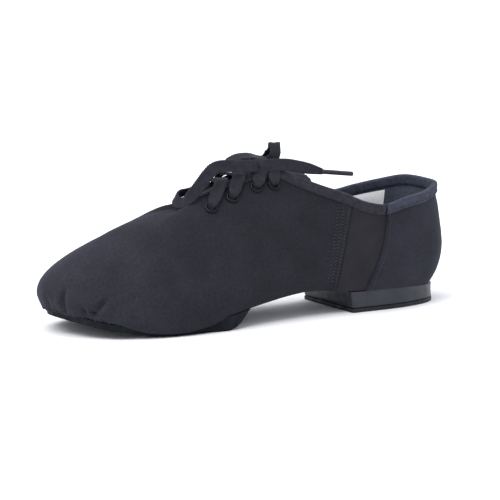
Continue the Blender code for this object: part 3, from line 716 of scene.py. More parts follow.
def woven_tape(name, colour, pitch, roughness=0.70, sheen=0.08):
    """Grosgrain tape and flat lace: threads across and along, with a dull shine."""
    look, tree, shader = clouded(name, colour, roughness, 420.0, 0.32, 0.68, 0.72, 1.35)
    across = bump(tree, bands(tree, pitch, "X"), 0.00007)
    slant = bump(tree, bands(tree, pitch * 0.8, "DIAGONAL"), 0.00005, across)
    tree.links.new(slant, shader.inputs["Normal"])
    set_sockets(shader, {"Specular IOR Level": 0.2, "Sheen Weight": sheen,
                         "Sheen Tint": (0.80, 0.84, 1.0, 1.0)})
    return look


def moulded(name, colour, roughness, pebbles, depth, coat=0.0, gloss=0.30):
    """Moulded rubber or leatherboard: fine pebble grain, scuffs in the gloss and a faint coat."""
    look, tree, shader = clouded(name, colour, roughness, 90.0, 0.34, 0.70, 0.78, 1.30, 5.0)
    scuffs = speckle(tree, 240.0, 0.35, 0.65, [roughness - 0.10] * 3, [roughness + 0.12] * 3)
    tree.links.new(scuffs, shader.inputs["Roughness"])
    tree.links.new(bump(tree, grain(tree, pebbles), depth), shader.inputs["Normal"])
    set_sockets(shader, {"Specular IOR Level": gloss, "Coat Weight": coat, "Coat Roughness": 0.35})
    return look


def enamel(name, colour):
    """Glossy enamel on pressed metal, faintly uneven."""
    look, tree, shader = clouded(name, colour, 0.18, 600.0, 0.35, 0.65, 0.8, 1.4)
    tree.links.new(bump(tree, grain(tree, 900.0, detail=1.0), 0.00003), shader.inputs["Normal"])
    set_sockets(shader, {"Specular IOR Level": 0.12, "Coat Weight": 0.08, "Coat Roughness": 0.08})
    return look


def satin_label(name, colour):
    """Bare satin label."""
    look, tree, shader = clouded(name, colour, 0.45, 300.0, 0.35, 0.65, 0.93, 1.0)
    tree.links.new(bump(tree, bands(tree, 0.0004, "X"), 0.00002), shader.inputs["Normal"])
    return look


def material(name):
    """The shoe's material of that name, made when it is first used."""
    found = bpy.data.materials.get(name)
    if found:
        return found
    c = bpy.context.scene.shoe_colours
    makers = {
        # The canvas carries painted shade, darker away from the lit toe
        "shoe_canvas": lambda: cloth(name, c.canvas, painted_shade=0.66),
        "shoe_counter": lambda: cloth(name, times(c.canvas, 0.86, 0.88, 0.93), 0.85, lint=0.15, nap=0.00006),
        "shoe_elastic": lambda: knitted(name, c.elastic),
        # Lining and sock: own colour plus painted light on the shaded inside
        "shoe_lining": lambda: cloth(name, c.lining, 0.90, 0.0009, lint=0.2, sheen=0.05),
        "shoe_tape": lambda: woven_tape(name, c.tape, 0.0011),
        # The rear tape is a lighter, bluer copy of the tape: partly a paler smooth tape, partly painted light on
        # the collar's shaded inside faces
        "shoe_rear_tape": lambda: woven_tape(name, times(c.tape, 1.85, 1.98, 2.35), 0.0011),
        "shoe_rubber": lambda: moulded(name, c.rubber, 0.70, 1500.0, 0.00010, gloss=0.12),
        "shoe_heel": lambda: moulded(name, c.heel, 0.42, 2200.0, 0.00004, 0.15),
        "shoe_lift": lambda: moulded(name, c.lift, 0.60, 1800.0, 0.00008),
        "shoe_metal": lambda: enamel(name, c.metal),
        "shoe_lace": lambda: woven_tape(name, c.lace, 0.0009, 0.66, 0.10),
        "shoe_aglet": lambda: moulded(name, times(c.lace, 2.3), 0.42, 900.0, 0.00003, gloss=0.2),
        "shoe_label": lambda: satin_label(name, c.label),
        "shoe_thread": lambda: woven_tape(name, c.thread, 0.0004, 0.55),
        "shoe_knots": lambda: woven_tape(name, times(c.thread, 2.6), 0.0004, 0.5),
    }
    return makers[name]()


def mesh_object(name, verts, faces, uvs, looks, face_looks=None, sharp=40):
    """A mesh object with its cloth coordinates, in the scene, riding on the shoe."""
    mesh = bpy.data.meshes.new(name)
    mesh.from_pydata(np.asarray(verts).reshape(-1, 3).tolist(), [], [list(map(int, f)) for f in faces])
    layer = mesh.uv_layers.new(name="cloth")
    flat = np.concatenate([np.asarray(u, float).reshape(-1, 2) for u in uvs]) * UV_PER_METRE
    layer.data.foreach_set("uv", flat.ravel())
    for one in looks:
        mesh.materials.append(material(one))
    if face_looks is not None:
        mesh.polygons.foreach_set("material_index", np.asarray(face_looks, dtype=np.int32))
    mesh.validate()
    bm = bmesh.new()
    bm.from_mesh(mesh)
    bmesh.ops.remove_doubles(bm, verts=bm.verts, dist=WELD)
    bmesh.ops.recalc_face_normals(bm, faces=bm.faces)
    if bm.calc_volume(signed=True) < 0:
        bmesh.ops.reverse_faces(bm, faces=bm.faces)
    bm.to_mesh(mesh)
    bm.free()
    mesh.shade_smooth()
    if sharp:
        mesh.set_sharp_from_angle(angle=math.radians(sharp))
    obj = bpy.data.objects.new(name, mesh)
    bpy.context.scene.collection.objects.link(obj)
    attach(obj, "root")
    return obj


def quads(n, m, wrap_n=False, wrap_m=False):
    """Corner indices of a grid's quads, with their unwrapped rows and columns."""
    i, k = np.meshgrid(np.arange(n if wrap_n else n - 1), np.arange(m if wrap_m else m - 1), indexing="ij")
    i, k = i.ravel(), k.ravel()
    rows = np.stack([i, i + 1, i + 1, i], 1)
    columns = np.stack([k, k, k + 1, k + 1], 1)
    return (rows % n) * m + columns % m, rows, columns


def tube_object(name, rings, look, run=None, closed=False, sharp=40):
    """A closed solid through rings of points, with flat ends unless it is closed on itself."""
    rings = np.asarray(rings)
    n, m = rings.shape[:2]
    run = run_of(rings.mean(1)) if run is None else run
    girth = run_of(rings[n // 2])
    run = np.append(run, run[-1] * n / (n - 1))
    girth = np.append(girth, girth[-1] * m / (m - 1))
    faces, rows, columns = quads(n, m, closed, True)
    uvs = [np.stack([run[rows], girth[columns]], -1)]
    faces = faces.tolist()
    if not closed:
        for end in (list(range(m)), [(n - 1) * m + k for k in range(m)]):
            faces.append(end)
            uvs.append(np.zeros((m, 2)))
    return mesh_object(name, rings, faces, uvs, [look], sharp=sharp)


def sheet_object(name, top, bottom, look, sharp):
    """A closed solid between two grids of the same size."""
    n, m = top.shape[:2]
    faces, rows, columns = quads(n, m)
    low = n * m
    along, across = run_of(top[:, m // 2]), run_of(top[n // 2])
    uv = np.stack([along[rows], across[columns]], -1)
    edge = [i * m for i in range(n)] + [(n - 1) * m + k for k in range(1, m)]
    edge += [i * m + m - 1 for i in range(n - 2, -1, -1)] + [k for k in range(m - 2, 0, -1)]
    sides = [(u, v, low + v, low + u) for u, v in zip(edge, edge[1:] + edge[:1])]
    spot = np.array([[along[u // m], across[u % m]] for u in edge + edge[:1]])
    side_uv = [np.array([spot[k], spot[k + 1], spot[k + 1], spot[k]]) for k in range(len(edge))]
    all_faces = faces.tolist() + (low + faces[:, ::-1]).tolist() + sides
    return mesh_object(name, np.concatenate([top.reshape(-1, 3), bottom.reshape(-1, 3)]), all_faces,
                       [uv, uv[:, ::-1]] + side_uv, [look], sharp=sharp)


def full_turn(sides):
    """Angles of a ring's points."""
    return np.linspace(0, 2 * math.pi, sides, endpoint=False)


def thread_line(name, points, normals, radius):
    """A thread along a route that lies on a surface."""
    tangent = unit(np.gradient(points, axis=0))
    side = unit(np.cross(tangent, normals))
    up = np.cross(side, tangent)
    rings = points[:, None] + radius * spokes(full_turn(THREAD_SIDES), side[:, None], up[:, None])
    return tube_object(name, rings, "shoe_thread", sharp=0)


def stitch_row(name, points, normals, lengths, radius, look="shoe_thread"):
    """A row of separate stitches along a route that lies on a surface."""
    stitch, gap = lengths[0] * MM, lengths[1] * MM
    route, ups, at = evenly(points, ROUTE_STEP, normals)
    count = int(at[-1] / (stitch + gap))
    turn = full_turn(THREAD_SIDES)
    arch = [(0.0, 0.35, -0.9), (0.15, 0.9, 0.0), (0.5, 1.0, 0.35), (0.85, 0.9, 0.0), (1.0, 0.35, -0.9)]
    verts, faces, uvs = [], [], []
    for number in range(count):
        start = number * (stitch + gap)
        first = len(verts) * THREAD_SIDES
        for part, thick, lift in arch:
            d = start + part * stitch
            here = np.array([np.interp(d, at, route[:, k]) for k in range(3)])
            there = np.array([np.interp(d + ROUTE_STEP, at, route[:, k]) for k in range(3)])
            up = unit(np.array([np.interp(d, at, ups[:, k]) for k in range(3)]))
            side = unit(np.cross(there - here, up))
            verts.append(here + up * radius * lift + radius * thick * spokes(turn, side, up))
        f, rows, columns = quads(len(arch), THREAD_SIDES, False, True)
        faces += (f + first).tolist()
        uvs.append(np.stack([rows * stitch / (len(arch) - 1), columns * radius], -1))
        for end in (first, first + (len(arch) - 1) * THREAD_SIDES):
            faces.append([end + k for k in range(THREAD_SIDES)])
            uvs.append(np.zeros((THREAD_SIDES, 2)))
    return mesh_object(name, np.array(verts), faces, uvs, [look], sharp=0)


def gore_front(t):
    """Ring place of the seam in front of the elastic, at heights t."""
    return GORE_FRONT + GORE_SLANT * (t - MID_HEIGHT)


def gore_back(t):
    """Ring place of the seam behind the elastic, at heights t."""
    return GORE_BACK + GORE_BOW * np.sin(math.pi * np.clip(t, 0, 1)**0.9)


def panel_step(a, t):
    """Height of the outer face over the canvas: elastic sides lie lower, the heel counter higher."""
    side = mirrored(a)
    low = -ELASTIC_DROP * rise((side - gore_front(t)) / 0.035)
    high = (COUNTER_RISE - 0.8 * rise((t - 0.84) / 0.08)) * rise((side - gore_back(t)) / 0.05)
    return (low + high) * MM


def seams(a, t):
    """Folds along the elastic's edges, and the piped edge of the counter."""
    side = mirrored(a)
    pitch = row_pitch(a)
    front = side - gore_front(t)
    back = side - gore_back(t)
    fold = -0.75 * bell(front * pitch / (0.55 * MM))
    roll = 0.30 * bell((front * pitch + 2.2 * MM) / (1.2 * MM))
    seam = -1.10 * bell(back * pitch / (0.50 * MM))
    pipe = 0.65 * bell((back * pitch - 1.7 * MM) / (0.85 * MM))
    quilt = -0.18 * bell((front * pitch + 6.0 * MM) / (3.2 * MM))
    return (fold + roll + seam + pipe + quilt) * MM * rise((t - 0.02) / 0.02)


def gathers(a, t, metres):
    """Small slanted pleats where the canvas is lasted round the toe, and longer soft ones above them."""
    side = mirrored(a)
    toe = rise((3.0 - side) / 1.2)
    slanted = metres + 0.030 * t
    fine = np.sin(2 * math.pi * slanted / 0.0024 + 0.9 * np.sin(2 * math.pi * metres / 0.013))
    long = np.sin(2 * math.pi * metres / 0.0061 + 1.3 * np.sin(2 * math.pi * metres / 0.021))
    return MM * toe * (0.34 * fine * np.exp(-(t / 0.030)**2) + 0.30 * long * np.exp(-t / 0.060))


def creases(a, t):
    """The canvas's creases."""
    out = np.zeros(np.broadcast(a, t).shape)
    a = np.asarray(a) % TURN
    pitch = row_pitch(a)
    for a0, t0, a1, t1, width, depth in CREASES:
        along = (a1 - a0) * pitch
        up = (t1 - t0) * WALL_RUN
        dx, dy = (a - a0) * pitch, (t - t0) * WALL_RUN
        f = np.clip((dx * along + dy * up) / (along**2 + up**2), 0, 1)
        away = np.hypot(dx - f * along, dy - f * up)
        out = out + depth * MM * bell(away / (width * MM)) * (1 - 0.5 * np.abs(2 * f - 1)**2)
    return out


def dents(a, t):
    """Broad dents and swells of the stuffed canvas, which its lining follows."""
    pitch = row_pitch(a)
    out = np.zeros(np.broadcast(a, t).shape)
    for a0, t0, radius, swell in DENTS:
        gap = (a - a0 + HALF) % TURN - HALF
        away = np.hypot(gap * pitch, (t - t0) * WALL_RUN)
        out = out + swell * MM * bell(away / (radius * MM))
    return out * below_tape(t)


def below_tape(t):
    """1 over the open canvas, and 0 under the binding."""
    return rise((0.93 - t) / 0.05)


def overhang(a):
    """How far the canvas hangs below the sole's upper edge, at ring places, in metres."""
    side = mirrored(a)
    hangs = [deep * rise((side - start) / 0.5) * rise((stop - side) / 0.5) for start, stop, deep in OVERHANGS]
    return MM * sum(hangs)


def relief(a, t):
    """How far the canvas stands off its smooth form; creases, gathers, seams and dents fade out under the bound
    edge.
    """
    a, t = np.broadcast_arrays(np.asarray(a, float), np.asarray(t, float))
    metres = np.interp(a % TURN, *feather_run())
    soft = creases(a, t) + gathers(a, t, metres)
    return panel_step(a, t) + dents(a, t) + (soft + seams(a, t)) * below_tape(t)


def feather_run():
    """Length along the feather line at places round the ring."""
    a = np.linspace(0, TURN, 721)
    return a, run_of(feather(a))


def surface(a, t, off=0.0):
    """Point over the dressed upper, and the way that its face looks."""
    a, t = np.broadcast_arrays(np.asarray(a, float), np.asarray(t, float))
    return skin(a, t, relief(a, t) + off), normal(a, t)


def upper_columns():
    """Ring places of the upper's columns, closer together at the toe's gathers and along the seams."""
    side = [0.0]
    while side[-1] < HALF:
        here = side[-1]
        near_seam = 11.75 < here < 12.45 or 13.85 < here < 14.65
        side.append(here + (0.022 if near_seam else 0.032 if here < 3.4 else 0.062))
    side = np.array(side[:-1] + [HALF])
    return np.concatenate([side, TURN - side[-2:0:-1]])


class SHOE_OT_upper(bpy.types.Operator):
    """Canvas upper with its elastic sides, heel counter, lining and lasting margin"""
    bl_idname = "shoe.upper"
    bl_label = "Upper"

    def execute(self, context):
        s = size()
        a = upper_columns()
        n = len(a)
        low = np.array([0, 0.005, 0.011, 0.018, 0.026, 0.035, 0.045, 0.056, 0.068, 0.081, 0.095, 0.11, 0.126])
        t = np.concatenate([low, np.linspace(0.145, 1.0, 45)])
        column, level = a[:, None], t[None, :]
        off = relief(column, level)
        smooth_face = place(column + 0 * level, level + 0 * column)
        cloud = 0.22 * scatter(smooth_face, 70.0, 3.1) + 0.10 * scatter(smooth_face, 190.0, 8.4)
        off = off + cloud * MM * rise((0.90 - level) / 0.08) * rise((level - 0.02) / 0.02)
        outer = skin(column, level, off)
        hang = overhang(a)
        outer[..., 2] -= hang[:, None] * np.clip(1 - level / 0.10, 0, 1)**2
        inner_t = np.linspace(1.0, 0.0, 22)
        puff = 1.7 * MM * rise((4.0 - mirrored(column)) / 0.6) * rise((0.32 - inner_t) / 0.06)
        inner = skin(column, inner_t[None, :], dents(column, inner_t[None, :]) - s.wall - puff)
        foot, out = outer[:, 0].copy(), outward(a)
        lean = ring(a)[:, 2] * s.ball / 2 / (ring(a)[:, 3] * s.instep)
        corner = (1 - np.sin(np.arctan(lean))) / np.cos(np.arctan(lean))
        inner[:, -1] = feather(a) - out * (corner * s.wall)[:, None]
        inner[:, -1, 2] = base(inner[:, -1, 0]) + s.wall
        side = mirrored(a)
        shut = (side >= FORE_END) & (side <= HEEL_START)
        straight = feather(a)
        end = np.where(shut[:, None], (straight + feather(TURN - a)) / 2, straight - out * s.margin)
        bottom, floor = [], []
        for f, share_hung in ((0.0, 0.0), (0.5, 0.0), (0.80, 0.0), (0.90, 0.75), (0.965, 1.0)):
            strip = end * (1 - f) + foot * f
            strip[:, 2] = base(strip[:, 0]) - hang * share_hung
            bottom.append(strip)
        for f in (0.0, 0.5, 0.80):
            strip = end * (1 - f) + straight * f
            strip[:, 2] = base(strip[:, 0]) + s.wall
            floor.append(strip)
        grid = np.concatenate([np.stack(bottom, 1), outer, inner, np.stack(floor[::-1], 1)], 1)
        m = grid.shape[1]
        faces, rows, columns = quads(n, m, True, False)
        ground = len(bottom)
        over = (columns[:, 0] >= ground) & (columns[:, 0] < ground + len(t) - 1)
        lined = columns[:, 0] >= ground + len(t) - 1
        middle = a[rows[:, 0] % n] + 0.01
        height = t[np.clip(columns[:, 0] - ground, 0, len(t) - 1)]
        where = mirrored(middle)
        elastic = over & (where > gore_front(height)) & (where < gore_back(height))
        counter = over & (where >= gore_back(height))
        kinds = np.where(elastic, 1, np.where(counter, 2, np.where(lined, 3, 0)))
        around = np.interp(np.append(a, TURN), *feather_run())
        up = np.linalg.norm(np.diff(grid, axis=1), axis=2).cumsum(1)
        up = np.concatenate([np.zeros((n, 1)), up], 1)
        uv = np.stack([around[rows], up[rows % n, columns]], -1)
        rim_faces, rim_uv = [], []
        for i in range(n):
            j = (i + 1) % n
            if not (shut[i] and shut[j]):
                rim_faces.append((i * m, i * m + m - 1, j * m + m - 1, j * m))
                rim_uv.append(np.zeros((4, 2)))
        looks = ["shoe_canvas", "shoe_elastic", "shoe_counter", "shoe_lining"]
        kinds = np.concatenate([kinds, np.full(len(rim_faces), 3)])
        obj = mesh_object("canvas_upper", grid, faces.tolist() + rim_faces, [uv] + rim_uv, looks, kinds, 60)
        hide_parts("upper")
        return {"FINISHED"}


def binding_sections(a, t_low, metres):
    """Outlines of the folded, ribbed tape at places of the edge, its outside and then its inside."""
    s = size()
    step = panel_step(a, 1.0 + 0 * a)
    middle, half = (step - s.wall) / 2, (step + s.wall) / 2 + s.gap + s.tape
    rib = 0.09 * MM * np.cos(2 * math.pi * metres / s.rib)
    up = unit(place(a, 1.0 + 0 * a) - place(a, 0.93 + 0 * a))
    points = []
    flat = [(f, 0.25 * MM if f == 0.0 else 0.0) for f in (0.0, 0.12, 0.4, 0.7, 0.92)]
    for f, tuck in flat:
        points.append(skin(a, t_low + (1 - t_low) * f, middle + half + rib - tuck))
    for turn in (0.15, 0.35, 0.5, 0.65, 0.85):
        q = turn * math.pi
        tall = (half * 0.75 + rib) * math.sin(q)
        points.append(skin(a, 1.0 + 0 * a, middle + (half + rib) * math.cos(q)) + up * tall[:, None])
    for f, tuck in flat[::-1]:
        points.append(skin(a, t_low + (1 - t_low) * f, middle - half - rib + tuck))
    for side, levels in ((-1, (0.0, 0.5, 0.95)), (1, (0.95, 0.5, 0.0))):
        for f in levels:
            points.append(skin(a, t_low + (1 - t_low) * f, middle + side * (half - s.tape)))
    return np.stack(points, 1)


def edge_places(start, stop, step):
    """Ring places from one to another at an even step along the rim, with the run of each."""
    fine = np.linspace(start, stop, RIM_POINTS)
    run = run_of(place(fine, np.ones_like(fine)))
    at = np.linspace(0, run[-1], int(run[-1] / step) + 1)
    return np.interp(at, run, fine), at


class SHOE_OT_binding(bpy.types.Operator):
    """Ribbed tape folded over the edge of throat and collar"""
    bl_idname = "shoe.binding"
    bl_label = "Binding"

    def execute(self, context):
        s = size()
        start = HEEL_START + TAPE_PARTING
        stop = HEEL_START - TAPE_PARTING
        for name, node, look, first, last in (
                ("tape_front", "binding_front", "shoe_tape", -stop, stop),
                ("tape_rear", "binding_rear", "shoe_rear_tape", start, TURN - start)):
            a, at = edge_places(first, last, s.rib / 4)
            obj = tube_object(name, binding_sections(a, below_rim(a, s.binding), at), look, sharp=50)
            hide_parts(node)
            sew = below_rim(a, s.binding - 1.0 * MM)
            away = s.gap + s.tape + 0.12 * MM
            for side, off in (("outside", away), ("inside", -s.wall - away)):
                step = panel_step(a, np.ones_like(a)) if off > 0 else 0
                row = skin(a, sew, off + step)
                ups = normal(a, sew) * math.copysign(1, off)
                stitch = stitch_row(name + "_stitches_" + side, row, ups, TAPE_STITCH, s.thread / 2)
        return {"FINISHED"}


def dense_grid(lines, rows, columns):
    """A grid of control lines made finer by smooth curves both ways."""
    lines = np.array(lines)
    wide = np.stack([smooth(line, columns) for line in lines])
    return np.stack([smooth(wide[:, k], rows) for k in range(wide.shape[1])], 1)


def tongue_ends(table):
    """Lines across the tongue's middle layer from a table of its ends."""
    s = size()
    lines = []
    for along, aside, up, fall in table:
        v = np.array([-1, -0.72, -0.38, 0, 0.38, 0.72, 1])
        x = (MIDDLE - along) * s.length + 0 * v
        lines.append(list(np.column_stack([x, v * aside * s.ball / 2, (up - fall * v**2) * s.instep])))
    return lines


class SHOE_OT_tongue(bpy.types.Operator):
    """Canvas tongue under the laces"""
    bl_idname = "shoe.tongue"
    bl_label = "Tongue"

    def execute(self, context):
        s = size()
        deep = s.wall + s.tape + 2 * s.gap + s.tongue / 2
        lines = tongue_ends(TONGUE_START)
        for a, low, high, crown in TONGUE_ROWS:
            left = [skin(a, low + (high - low) * f, -deep) for f in (0.0, 0.5, 1.0)]
            right = [skin(TURN - a, low + (high - low) * f, -deep) for f in (1.0, 0.5, 0.0)]
            middle = (left[-1] + right[0]) / 2 + np.array([0, 0, crown * s.instep])
            lines.append(left + [middle] + right)
        mid = dense_grid(lines + tongue_ends(TONGUE_END), 9, 8)
        n, m = mid.shape[:2]
        du, dv = np.gradient(mid, axis=0), np.gradient(mid, axis=1)
        face = unit(np.cross(dv, du))
        face *= np.sign(face[..., 2:3])
        v = np.abs(np.linspace(-1, 1, m))[None, :]
        u = np.linspace(0, 1, n)[:, None]
        rim = rise((1 - v) / 0.12) * rise((1 - u) / 0.07)
        quilt = 0.20 * MM * scatter(mid, 110.0, 5.0) + 0.12 * MM * scatter(mid, 320.0, 2.0)
        half = s.tongue / 2 * (0.35 + 0.75 * rim)
        obj = sheet_object("canvas_tongue", mid + face * (half + quilt)[..., None],
                           mid - face * half[..., None], "shoe_canvas", sharp=70)
        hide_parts("tongue")
        hem_u = int(n * 0.955)
        row = (mid + face * (half + quilt + 0.05 * MM)[..., None])[hem_u, 4:-4]
        stitches = stitch_row("tongue_hem_stitches", row, face[hem_u, 4:-4], SEAM_STITCH, s.thread / 2)
        return {"FINISHED"}


def under_foot(places, across, inset, heights):
    """Grids across the foot's bottom: for each inset from the feather, one grid at its height function."""
    grids = []
    w = across[None, :, None]
    for gap, height in zip(inset, heights):
        gap = np.asarray(gap)[..., None]
        near = feather(places) - outward(places) * gap
        far = feather(TURN - places) - outward(TURN - places) * gap
        p = near * (1 - w) + far * w
        p[..., 2] = height(p[..., 0])
        grids.append(p)
    return grids


class SHOE_OT_insole(bpy.types.Operator):
    """Sock on the lasting margin, a little crowned"""
    bl_idname = "shoe.insole"
    bl_label = "Sock"

    def execute(self, context):
        s = size()
        w = np.linspace(0, 1, 33)
        a = np.linspace(0, HALF, 181)[:, None] + 0 * w[None, :]
        inset = s.wall + 1.2 * MM
        low = s.wall + s.gap
        top, bottom = under_foot(a, w, (inset, inset),
                                 (lambda x: base(x) + low + s.insole, lambda x: base(x) + low))
        edge = rise((0.5 - np.abs(w - 0.5)) / 0.05)[None, :]
        top[..., 2] += (0.25 * edge - 0.4 * (1 - edge)) * MM + 0.12 * MM * scatter(top, 160.0, 1.0)
        obj = sheet_object("sock", top, bottom, "shoe_lining", sharp=60)
        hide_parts("insole")
        return {"FINISHED"}


class SHOE_OT_label(bpy.types.Operator):
    """Bare white label sewn inside the collar"""
    bl_idname = "shoe.label"
    bl_label = "Label"

    def execute(self, context):
        s = size()
        f = np.linspace(0, 1, 41)
        a = (LABEL_PLACE[0] + (LABEL_PLACE[1] - LABEL_PLACE[0]) * f)[:, None]
        g = np.linspace(0, 1, 15)
        t = (LABEL_HEIGHT[0] + (LABEL_HEIGHT[1] - LABEL_HEIGHT[0]) * g)[None, :]
        puff = 0.35 * MM * np.outer(np.sin(math.pi * f) + 0.3 * np.sin(5 * f), np.sin(math.pi * g))
        near = skin(a, t, -s.wall - s.gap - puff * 0.5)
        far = skin(a, t, -s.wall - s.gap - 0.35 * MM - puff)
        obj = sheet_object("bare_label", near, far, "shoe_label", sharp=60)
        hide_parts("label")
        return {"FINISHED"}


def sole_under(x):
    """Underside of the forefoot sole: flat at the ball, springing up at the toe and rounding up behind."""
    s = size()
    tail = np.clip((FLAT_BACK - share(x)) / TAIL, 0, 1.3)
    thin = base(x) - s.gap - s.sole * REAR_EDGE
    return np.minimum(spring(x) + (s.heel - s.sole) * tail**2.5, thin)


class SHOE_OT_outsole(bpy.types.Operator):
    """Forefoot sole with a trimmed edge and a thin lip along its top"""
    bl_idname = "shoe.outsole"
    bl_label = "Forefoot sole"

    def execute(self, context):
        s = size()
        w = 0.5 - 0.5 * np.cos(math.pi * np.linspace(0, 1, 49))
        last = SOLE_END - REAR_BOW * (2 * w - 1)**2
        a = np.linspace(0, 1, 170)[:, None] * last[None, :]
        tuck = overhang(a) * 1.5
        grids = under_foot(a, w, (tuck - 0.6 * MM, tuck + 0.3 * MM), (lambda x: base(x) - s.gap, sole_under))
        grids[1][..., 2] += 0.10 * MM * np.clip(scatter(grids[1], 900.0, 4.0), 0, 1)
        obj = sheet_object("forefoot_tread", grids[0], grids[1], "shoe_rubber", sharp=30)
        bevel = obj.modifiers.new("trimmed", "BEVEL")
        bevel.width = 0.4 * MM
        bevel.segments = 2
        bevel.limit_method = "ANGLE"
        bevel.angle_limit = math.radians(40)
        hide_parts("forefoot_sole")
        return {"FINISHED"}


def heel_outline(grow, front):
    """Plan outline of the heel, round behind, with a straight breast and softly rounded corners."""
    s = size()
    back = MIDDLE * s.length - s.heel_inset + grow
    breast = back - s.heel_length - 2 * grow - front
    half = s.heel_width / 2 + grow
    radius = HEEL_CORNER * MM
    q = np.linspace(-math.pi / 2, math.pi / 2, 121)
    x = breast + radius + (back - breast - radius) * np.abs(np.cos(q))**(2 / HEEL_ROUND)
    y = half * np.sign(np.sin(q)) * np.abs(np.sin(q))**(2 / HEEL_ROUND)
    curve = np.stack([x, y], 1)
    corner = np.linspace(0, math.pi / 2, 9)
    left = np.stack([breast + radius * (1 - np.sin(corner)), half - radius * (1 - np.cos(corner))], 1)
    right = left[::-1] * [1, -1]
    bar = np.linspace(1, -1, 25)[1:-1] * (half - radius)
    return np.concatenate([curve, left[1:], np.stack([breast + 0 * bar, bar], 1), right[:-1]])


class SHOE_OT_heel(bpy.types.Operator):
    """Heel block and its top lift"""
    bl_idname = "shoe.heel"
    bl_label = "Heel"

    def execute(self, context):
        s = size()
        low = s.lift + s.gap
        rings = []
        for level, grow in ((0.0, -6.0), (0.0, -0.30), (0.03, -0.06), (0.07, 0.0), (0.25, -0.14),
                            (0.5, -0.30), (0.75, -0.20), (0.93, 0.0), (0.985, -0.05), (1.0, -0.35),
                            (1.0, -6.0)):
            p = heel_outline(grow * MM, HEEL_SLANT * MM * level)
            top = base(p[:, 0]) - s.gap
            rings.append(np.column_stack([p, low + (top - low) * level]))
        block = tube_object("heel_moulding", rings, "shoe_heel", sharp=50)
        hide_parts("heel_block")
        rings = []
        for level, grow in ((0.0, -6.0), (0.0, -0.05), (0.12, 0.16), (0.4, 0.22), (0.8, 0.20), (0.95, 0.12),
                            (1.0, -0.1), (1.0, -6.0)):
            p = heel_outline(grow * MM, 0.0)
            rings.append(np.column_stack([p, 0 * p[:, 0] + s.lift * level]))
        lift = tube_object("heel_lift", rings, "shoe_lift", sharp=50)
        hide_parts("heel_top_lift")
        return {"FINISHED"}


def eyelet_frame(a, depth):
    """Centre on the wall's face and the axes of an eyelet: across, along and out of the wall."""
    t = float(below_rim(a, depth * size().eyelet_from_edge)[0])
    centre = place(a, t)
    out = skin(a, t, 1.0) - centre
    along = unit(place(a, t + 0.05) - place(a, t - 0.05))
    return centre, np.cross(along, out), along, out


class SHOE_OT_eyelets(bpy.types.Operator):
    """Pressed metal eyelets, four a side, with rolled rims and barrels through the wall"""
    bl_idname = "shoe.eyelets"
    bl_label = "Eyelets"

    def execute(self, context):
        s = size()
        outer, inner, rim = s.eyelet / 2, s.eyelet_hole / 2, s.eyelet_rim
        seat = s.gap + 0.2 * MM
        wide = outer - inner
        profile = [(outer, 0.0)]
        for q in np.linspace(0.05, 0.95, 13) * math.pi:
            profile.append((inner + wide / 2 + wide / 2 * math.cos(q), rim * math.sin(q)**0.8))
        barrel = ((0.0, 0.0), (-0.02, -1.2), (0.0, -2.0), (0.5, -2.45), (0.25, -1.9), (0.25, -0.25))
        profile += [(inner + r * MM, h * MM) for r, h in barrel] + [(outer - 0.5 * MM, -0.10 * MM)]
        for side in ("lateral", "medial"):
            for number, (a, depth) in enumerate(EYELETS):
                centre, across, along, out = eyelet_frame(sided(a, side == "medial"), depth)
                spoke = spokes(full_turn(EYELET_SIDES), across, along)
                rings = np.array([centre + spoke * r + out * (seat + h) for r, h in profile])
                node = "eyelet_" + side + "_" + str(number + 1)
                obj = tube_object("metal_" + node, rings, "shoe_metal", closed=True, sharp=0)
                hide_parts(node)
        return {"FINISHED"}


def ribbon(name, path, looks, widths=None, thick=None, curl=0.0):
    """A flat woven lace along a path. Returns the object and its centreline."""
    s = size()
    widths = np.ones(len(path)) if widths is None else np.asarray(widths, float)
    thick = np.ones(len(path)) if thick is None else np.asarray(thick, float)
    points = smooth(path, 12)
    faces_to = smooth(looks, 12)
    scale = smooth(np.column_stack([widths, thick, 0 * widths]), 12)
    line, faces_to, scale, at = evenly(points, LACE_STEP, faces_to, scale)
    tangent = unit(np.gradient(line, axis=0))
    flat = unit(faces_to - tangent * (faces_to * tangent).sum(1, keepdims=True))
    side = np.cross(tangent, flat)
    half = s.lace / 2 * scale[:, 0]
    high = s.lace_thick / 2 * scale[:, 1]
    u = np.array([-1.0, -0.96, -0.84, -0.66, -0.44, -0.22, 0.0, 0.22, 0.44, 0.66, 0.84, 0.96, 1.0])
    crown = np.array([0.0, 0.55, 0.90, 0.94, 0.84, 0.80, 0.76, 0.80, 0.84, 0.94, 0.90, 0.55, 0.0])
    u_all = np.concatenate([u, u[-2:0:-1]])
    v_all = np.concatenate([crown, -crown[-2:0:-1]])
    slant = at[:, None] / (0.95 * MM) + 0.9 * np.abs(u_all)[None, :]
    twill = 1 + 0.13 * np.sin(2 * math.pi * slant)
    nibble = 1 + 0.045 * np.sin(2 * math.pi * at / (1.15 * MM))
    bow = curl * (u_all**2)[None, :] * half[:, None]
    rings = (line[:, None] + side[:, None] * (half * nibble)[:, None, None] * u_all[None, :, None]
             + flat[:, None] * (high[:, None] * v_all[None, :] * twill + bow)[..., None])
    obj = tube_object(name, rings, "shoe_lace", run=at, sharp=50)
    return obj, line


def strand_half(a0, depth, a1, turned, clear):
    """Places and looks of a strand from its eyelet's hole up to the throat's edge."""
    s = size()
    t0 = float(below_rim(a0, depth * s.eyelet_from_edge)[0])
    points, looks = [], []
    for f, off in STRAND_STEPS:
        a = a0 + (a1 - a0) * f
        t = t0 + (1 - t0) * min(f, 1.0)
        b = sided(a, turned)
        lift = np.array([0, 0, 0.5 * clear * max(f, 0)**2])
        points.append(skin(b, t, off * clear if off > 0 else off * s.wall) + lift * (off > 0))
        looks.append(normal(np.array(b), np.array(t)) + 0.5 * lift / clear)
    return points, looks


